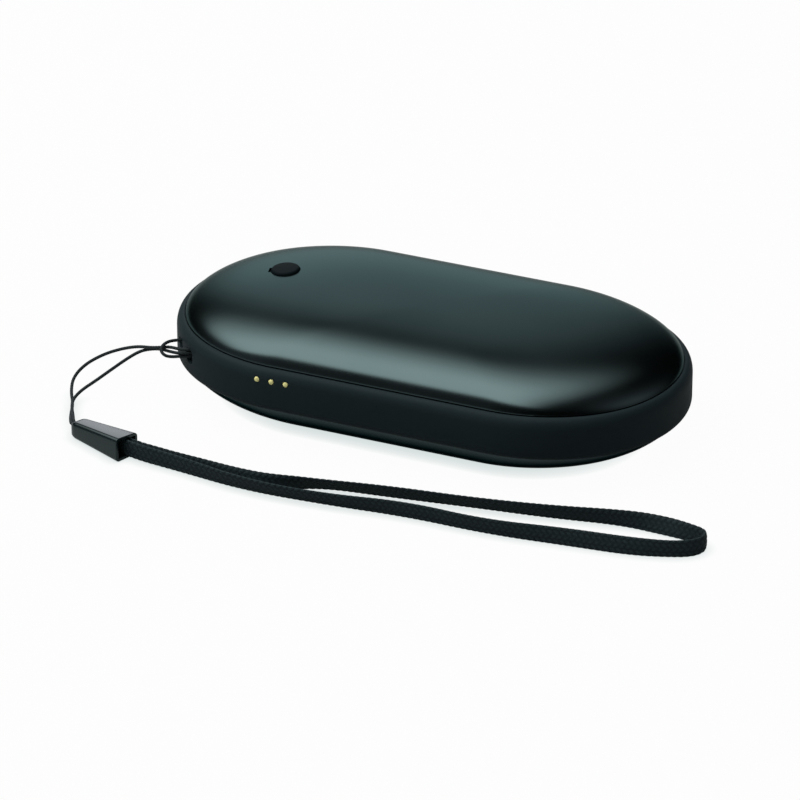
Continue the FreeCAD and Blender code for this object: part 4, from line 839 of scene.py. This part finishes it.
strap_route = []
lean_route = []
for x, y, lean, lift in STRAP:
    tip = math.radians(lean)
    middle = STRAP_HALF_WIDTH * math.cos(tip) + STRAP_HALF_THICK * abs(math.sin(tip))
    strap_route.append((x, y, lift + middle + PLAIT_RELIEF * (1 - PLAIT_SUNK)))
    lean_route.append((lean, 0, 0))
route_leans = [point.x for point in spline_points(lean_route)]
strap_line, leans = even(spline_points(strap_route), STRAP_STEP, route_leans)
strap_rings = [[strap_line[0]]]
strap_relief = [0.0]
section = strap_section()
for index, (point, heading) in enumerate(zip(strap_line, headings(strap_line))):
    tip = math.radians(leans[index])
    flat = Vector((heading.y, -heading.x, 0)).normalized()
    upright = Vector((0, 0, 1)) * math.cos(tip) + flat * math.sin(tip)
    through = flat * math.cos(tip) - Vector((0, 0, 1)) * math.sin(tip)
    ring = []
    for across, depth, out_across, out_depth in section:
        yarn = plait(index * STRAP_STEP, across + PLAIT_SHIFT * PLAIT_WIDTH * (1 if depth > 0 else -1))
        rise = PLAIT_RELIEF * (yarn - PLAIT_SUNK)
        ring.append(point + upright * (across + out_across * rise) + through * (depth + out_depth * rise))
        strap_relief.append(yarn)
    strap_rings.append(ring)
strap_rings.append([strap_line[-1]])
strap_relief.append(0.0)
strap = new_piece("wrist_strap_braid", *skin(strap_rings), crease=180.0)
store_relief(strap, strap_relief)
strap_braid = yarned("strap_braid", ((0.0112, 0.0195, 0.0220), (0.0270, 0.0440, 0.0485)), (0.6, 0.75),
                     fibre=7000.0, depth=2e-5, sheen=0.05)
strap.data.materials.append(strap_braid)
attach(strap, "housing")
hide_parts("wrist_strap")

# Floor: a plain pale sweep that the warmer lies on. The camera sees mostly its own white, with a faint shadow
# in the corners under the warmer and the strap; polished surfaces mirror a share of that white.
FLOOR_HALF = 3.0
FLOOR_SEEN = 0.97
FLOOR_MIRRORED = 0.12
FLOOR_CORNER = 2.3
FLOOR_SHADOW = (0.64, 0.72, 0.71)
FLOOR_COLOUR = (0.41, 0.43, 0.43)
floor_mesh = bpy.data.meshes.new("floor")
floor_points = [(-FLOOR_HALF, -FLOOR_HALF, 0), (FLOOR_HALF, -FLOOR_HALF, 0)]
floor_points += [(FLOOR_HALF, FLOOR_HALF, 0), (-FLOOR_HALF, FLOOR_HALF, 0)]
floor_mesh.from_pydata(floor_points, [], [[0, 1, 2, 3]])
floor = bpy.data.objects.new("floor", floor_mesh)
bpy.context.scene.collection.objects.link(floor)
floor_paint = bpy.data.materials.new("floor_paint")
floor_paint.use_nodes = True
floor_tree = floor_paint.node_tree
floor_shader = floor_tree.nodes["Principled BSDF"]
floor_shader.inputs["Base Color"].default_value = (*FLOOR_COLOUR, 1.0)
floor_shader.inputs["Roughness"].default_value = 0.9
floor_shader.inputs["Specular IOR Level"].default_value = 0.0
floor_white = floor_tree.nodes.new("ShaderNodeEmission")
floor_corner = floor_tree.nodes.new("ShaderNodeAmbientOcclusion")
floor_corner.inputs["Distance"].default_value = FLOOR_CORNER * MM
floor_shade = floor_tree.nodes.new("ShaderNodeValToRGB")
floor_shade.color_ramp.elements[0].color = (*FLOOR_SHADOW, 1.0)
floor_tree.links.new(floor_corner.outputs["AO"], floor_shade.inputs["Fac"])
floor_tree.links.new(floor_shade.outputs["Color"], floor_white.inputs["Color"])
floor_rays = floor_tree.nodes.new("ShaderNodeLightPath")
seen = floor_tree.nodes.new("ShaderNodeMath")
seen.operation = "ADD"
seen_share = floor_tree.nodes.new("ShaderNodeMath")
seen_share.operation = "MULTIPLY"
seen_share.inputs[1].default_value = FLOOR_SEEN
white_share = floor_tree.nodes.new("ShaderNodeMath")
white_share.operation = "MULTIPLY_ADD"
white_share.use_clamp = True
white_share.inputs[1].default_value = FLOOR_MIRRORED
floor_mix = floor_tree.nodes.new("ShaderNodeMixShader")
floor_tree.links.new(floor_rays.outputs["Is Camera Ray"], seen.inputs[0])
floor_tree.links.new(floor_rays.outputs["Is Transmission Ray"], seen.inputs[1])
floor_tree.links.new(seen.outputs["Value"], seen_share.inputs[0])
floor_tree.links.new(floor_rays.outputs["Is Glossy Ray"], white_share.inputs[0])
floor_tree.links.new(seen_share.outputs["Value"], white_share.inputs[2])
floor_tree.links.new(white_share.outputs["Value"], floor_mix.inputs["Fac"])
floor_tree.links.new(floor_shader.outputs["BSDF"], floor_mix.inputs[1])
floor_tree.links.new(floor_white.outputs["Emission"], floor_mix.inputs[2])
floor_tree.links.new(floor_mix.outputs["Shader"], floor_tree.nodes["Material Output"].inputs["Surface"])
floor_mesh.materials.append(floor_paint)

# Light: one large softbox hangs overhead on the left. Its diffuser fades towards the edges, each given as the
# side that it runs along, the share of that side where it is dark and the share where it is full.
SOFTBOX_PLACE = (-0.90, 0.06, 1.0)
SOFTBOX_WIDTH = 2.50
SOFTBOX_LENGTH = 2.28
SOFTBOX_LIGHT = 3.4
SOFTBOX_EDGES = (("X", 0.0, 0.484), ("X", 1.0, 0.816), ("Y", 0.0, 0.158), ("Y", 1.0, 0.408))
softbox_light = bpy.data.lights.new("softbox", "AREA")
softbox_light.shape = "RECTANGLE"
softbox_light.size = SOFTBOX_WIDTH
softbox_light.size_y = SOFTBOX_LENGTH
softbox_light.energy = math.pi * SOFTBOX_WIDTH * SOFTBOX_LENGTH * SOFTBOX_LIGHT
softbox_light.use_nodes = True
diffuser = softbox_light.node_tree
diffuser_place = diffuser.nodes.new("ShaderNodeNewGeometry")
diffuser_sides = diffuser.nodes.new("ShaderNodeSeparateXYZ")
diffuser.links.new(diffuser_place.outputs["Parametric"], diffuser_sides.inputs["Vector"])
strength = None
for side, dark, full in SOFTBOX_EDGES:
    fade = diffuser.nodes.new("ShaderNodeMapRange")
    fade.interpolation_type = "SMOOTHSTEP"
    fade.inputs["From Min"].default_value = dark
    fade.inputs["From Max"].default_value = full
    diffuser.links.new(diffuser_sides.outputs[side], fade.inputs["Value"])
    if strength:
        both = diffuser.nodes.new("ShaderNodeMath")
        both.operation = "MULTIPLY"
        diffuser.links.new(strength, both.inputs[0])
        diffuser.links.new(fade.outputs["Result"], both.inputs[1])
        strength = both.outputs["Value"]
    else:
        strength = fade.outputs["Result"]
diffuser.links.new(strength, diffuser.nodes["Emission"].inputs["Strength"])
softbox = bpy.data.objects.new("softbox", softbox_light)
softbox.location = SOFTBOX_PLACE
bpy.context.scene.collection.objects.link(softbox)

# Backdrop: dark, with soft glows behind on the left, on the right and in front on the left. Each is given by
# its bearing from the back, its height in degrees, its light and how tight it is.
BACKDROP_DARK = 0.01
BACKDROP_COLOUR = (1.0, 1.0, 1.06)
BACKDROP_GLOWS = ((-25.0, 8.0, 1.2, 35.0), (-27.0, 20.0, 1.15, 60.0), (80.0, 31.0, 0.38, 9.0),
                  (-130.0, 10.0, 0.2, 6.0))
world = bpy.data.worlds.new("backdrop")
world.use_nodes = True
bpy.context.scene.world = world
backdrop = world.node_tree
backdrop_way = backdrop.nodes.new("ShaderNodeTexCoord")
light_before = None
for bearing, height, light, tight in BACKDROP_GLOWS:
    turn = math.radians(bearing)
    rise = math.radians(height)
    towards = backdrop.nodes.new("ShaderNodeVectorMath")
    towards.operation = "DOT_PRODUCT"
    level = math.cos(rise)
    towards.inputs[1].default_value = (math.sin(turn) * level, math.cos(turn) * level, math.sin(rise))
    backdrop.links.new(backdrop_way.outputs["Generated"], towards.inputs[0])
    this_side = backdrop.nodes.new("ShaderNodeMath")
    this_side.operation = "MAXIMUM"
    this_side.inputs[1].default_value = 0.0
    backdrop.links.new(towards.outputs["Value"], this_side.inputs[0])
    spread = backdrop.nodes.new("ShaderNodeMath")
    spread.operation = "POWER"
    spread.inputs[1].default_value = tight
    backdrop.links.new(this_side.outputs["Value"], spread.inputs[0])
    total = backdrop.nodes.new("ShaderNodeMath")
    total.operation = "MULTIPLY_ADD"
    total.inputs[1].default_value = light
    total.inputs[2].default_value = BACKDROP_DARK
    backdrop.links.new(spread.outputs["Value"], total.inputs[0])
    if light_before:
        backdrop.links.new(light_before, total.inputs[2])
    light_before = total.outputs["Value"]
surround = backdrop.nodes["Background"]
surround.inputs["Color"].default_value = (*BACKDROP_COLOUR, 1.0)
backdrop.links.new(light_before, surround.inputs["Strength"])

# Camera: a long lens at the photograph's place, looking down on the warmer from the front right. Its place
# and the point that it looks at are in metres.
CAMERA_LENS = 256.87
CAMERA_PLACE = (0.3909455, -0.90664, 0.5092625)
CAMERA_POINT = Vector((-0.0039113, -0.0068554, 0.0033402))
camera_data = bpy.data.cameras.new("camera")
camera_data.lens = CAMERA_LENS
camera_data.sensor_width = 36.0
camera_data.clip_end = 20.0
camera = bpy.data.objects.new("camera", camera_data)
camera.location = CAMERA_PLACE
aim = CAMERA_POINT - camera.location
camera.rotation_euler = aim.to_track_quat("-Z", "Y").to_euler()
bpy.context.scene.collection.objects.link(camera)
bpy.context.scene.camera = camera
bpy.context.scene.view_settings.view_transform = "Standard"
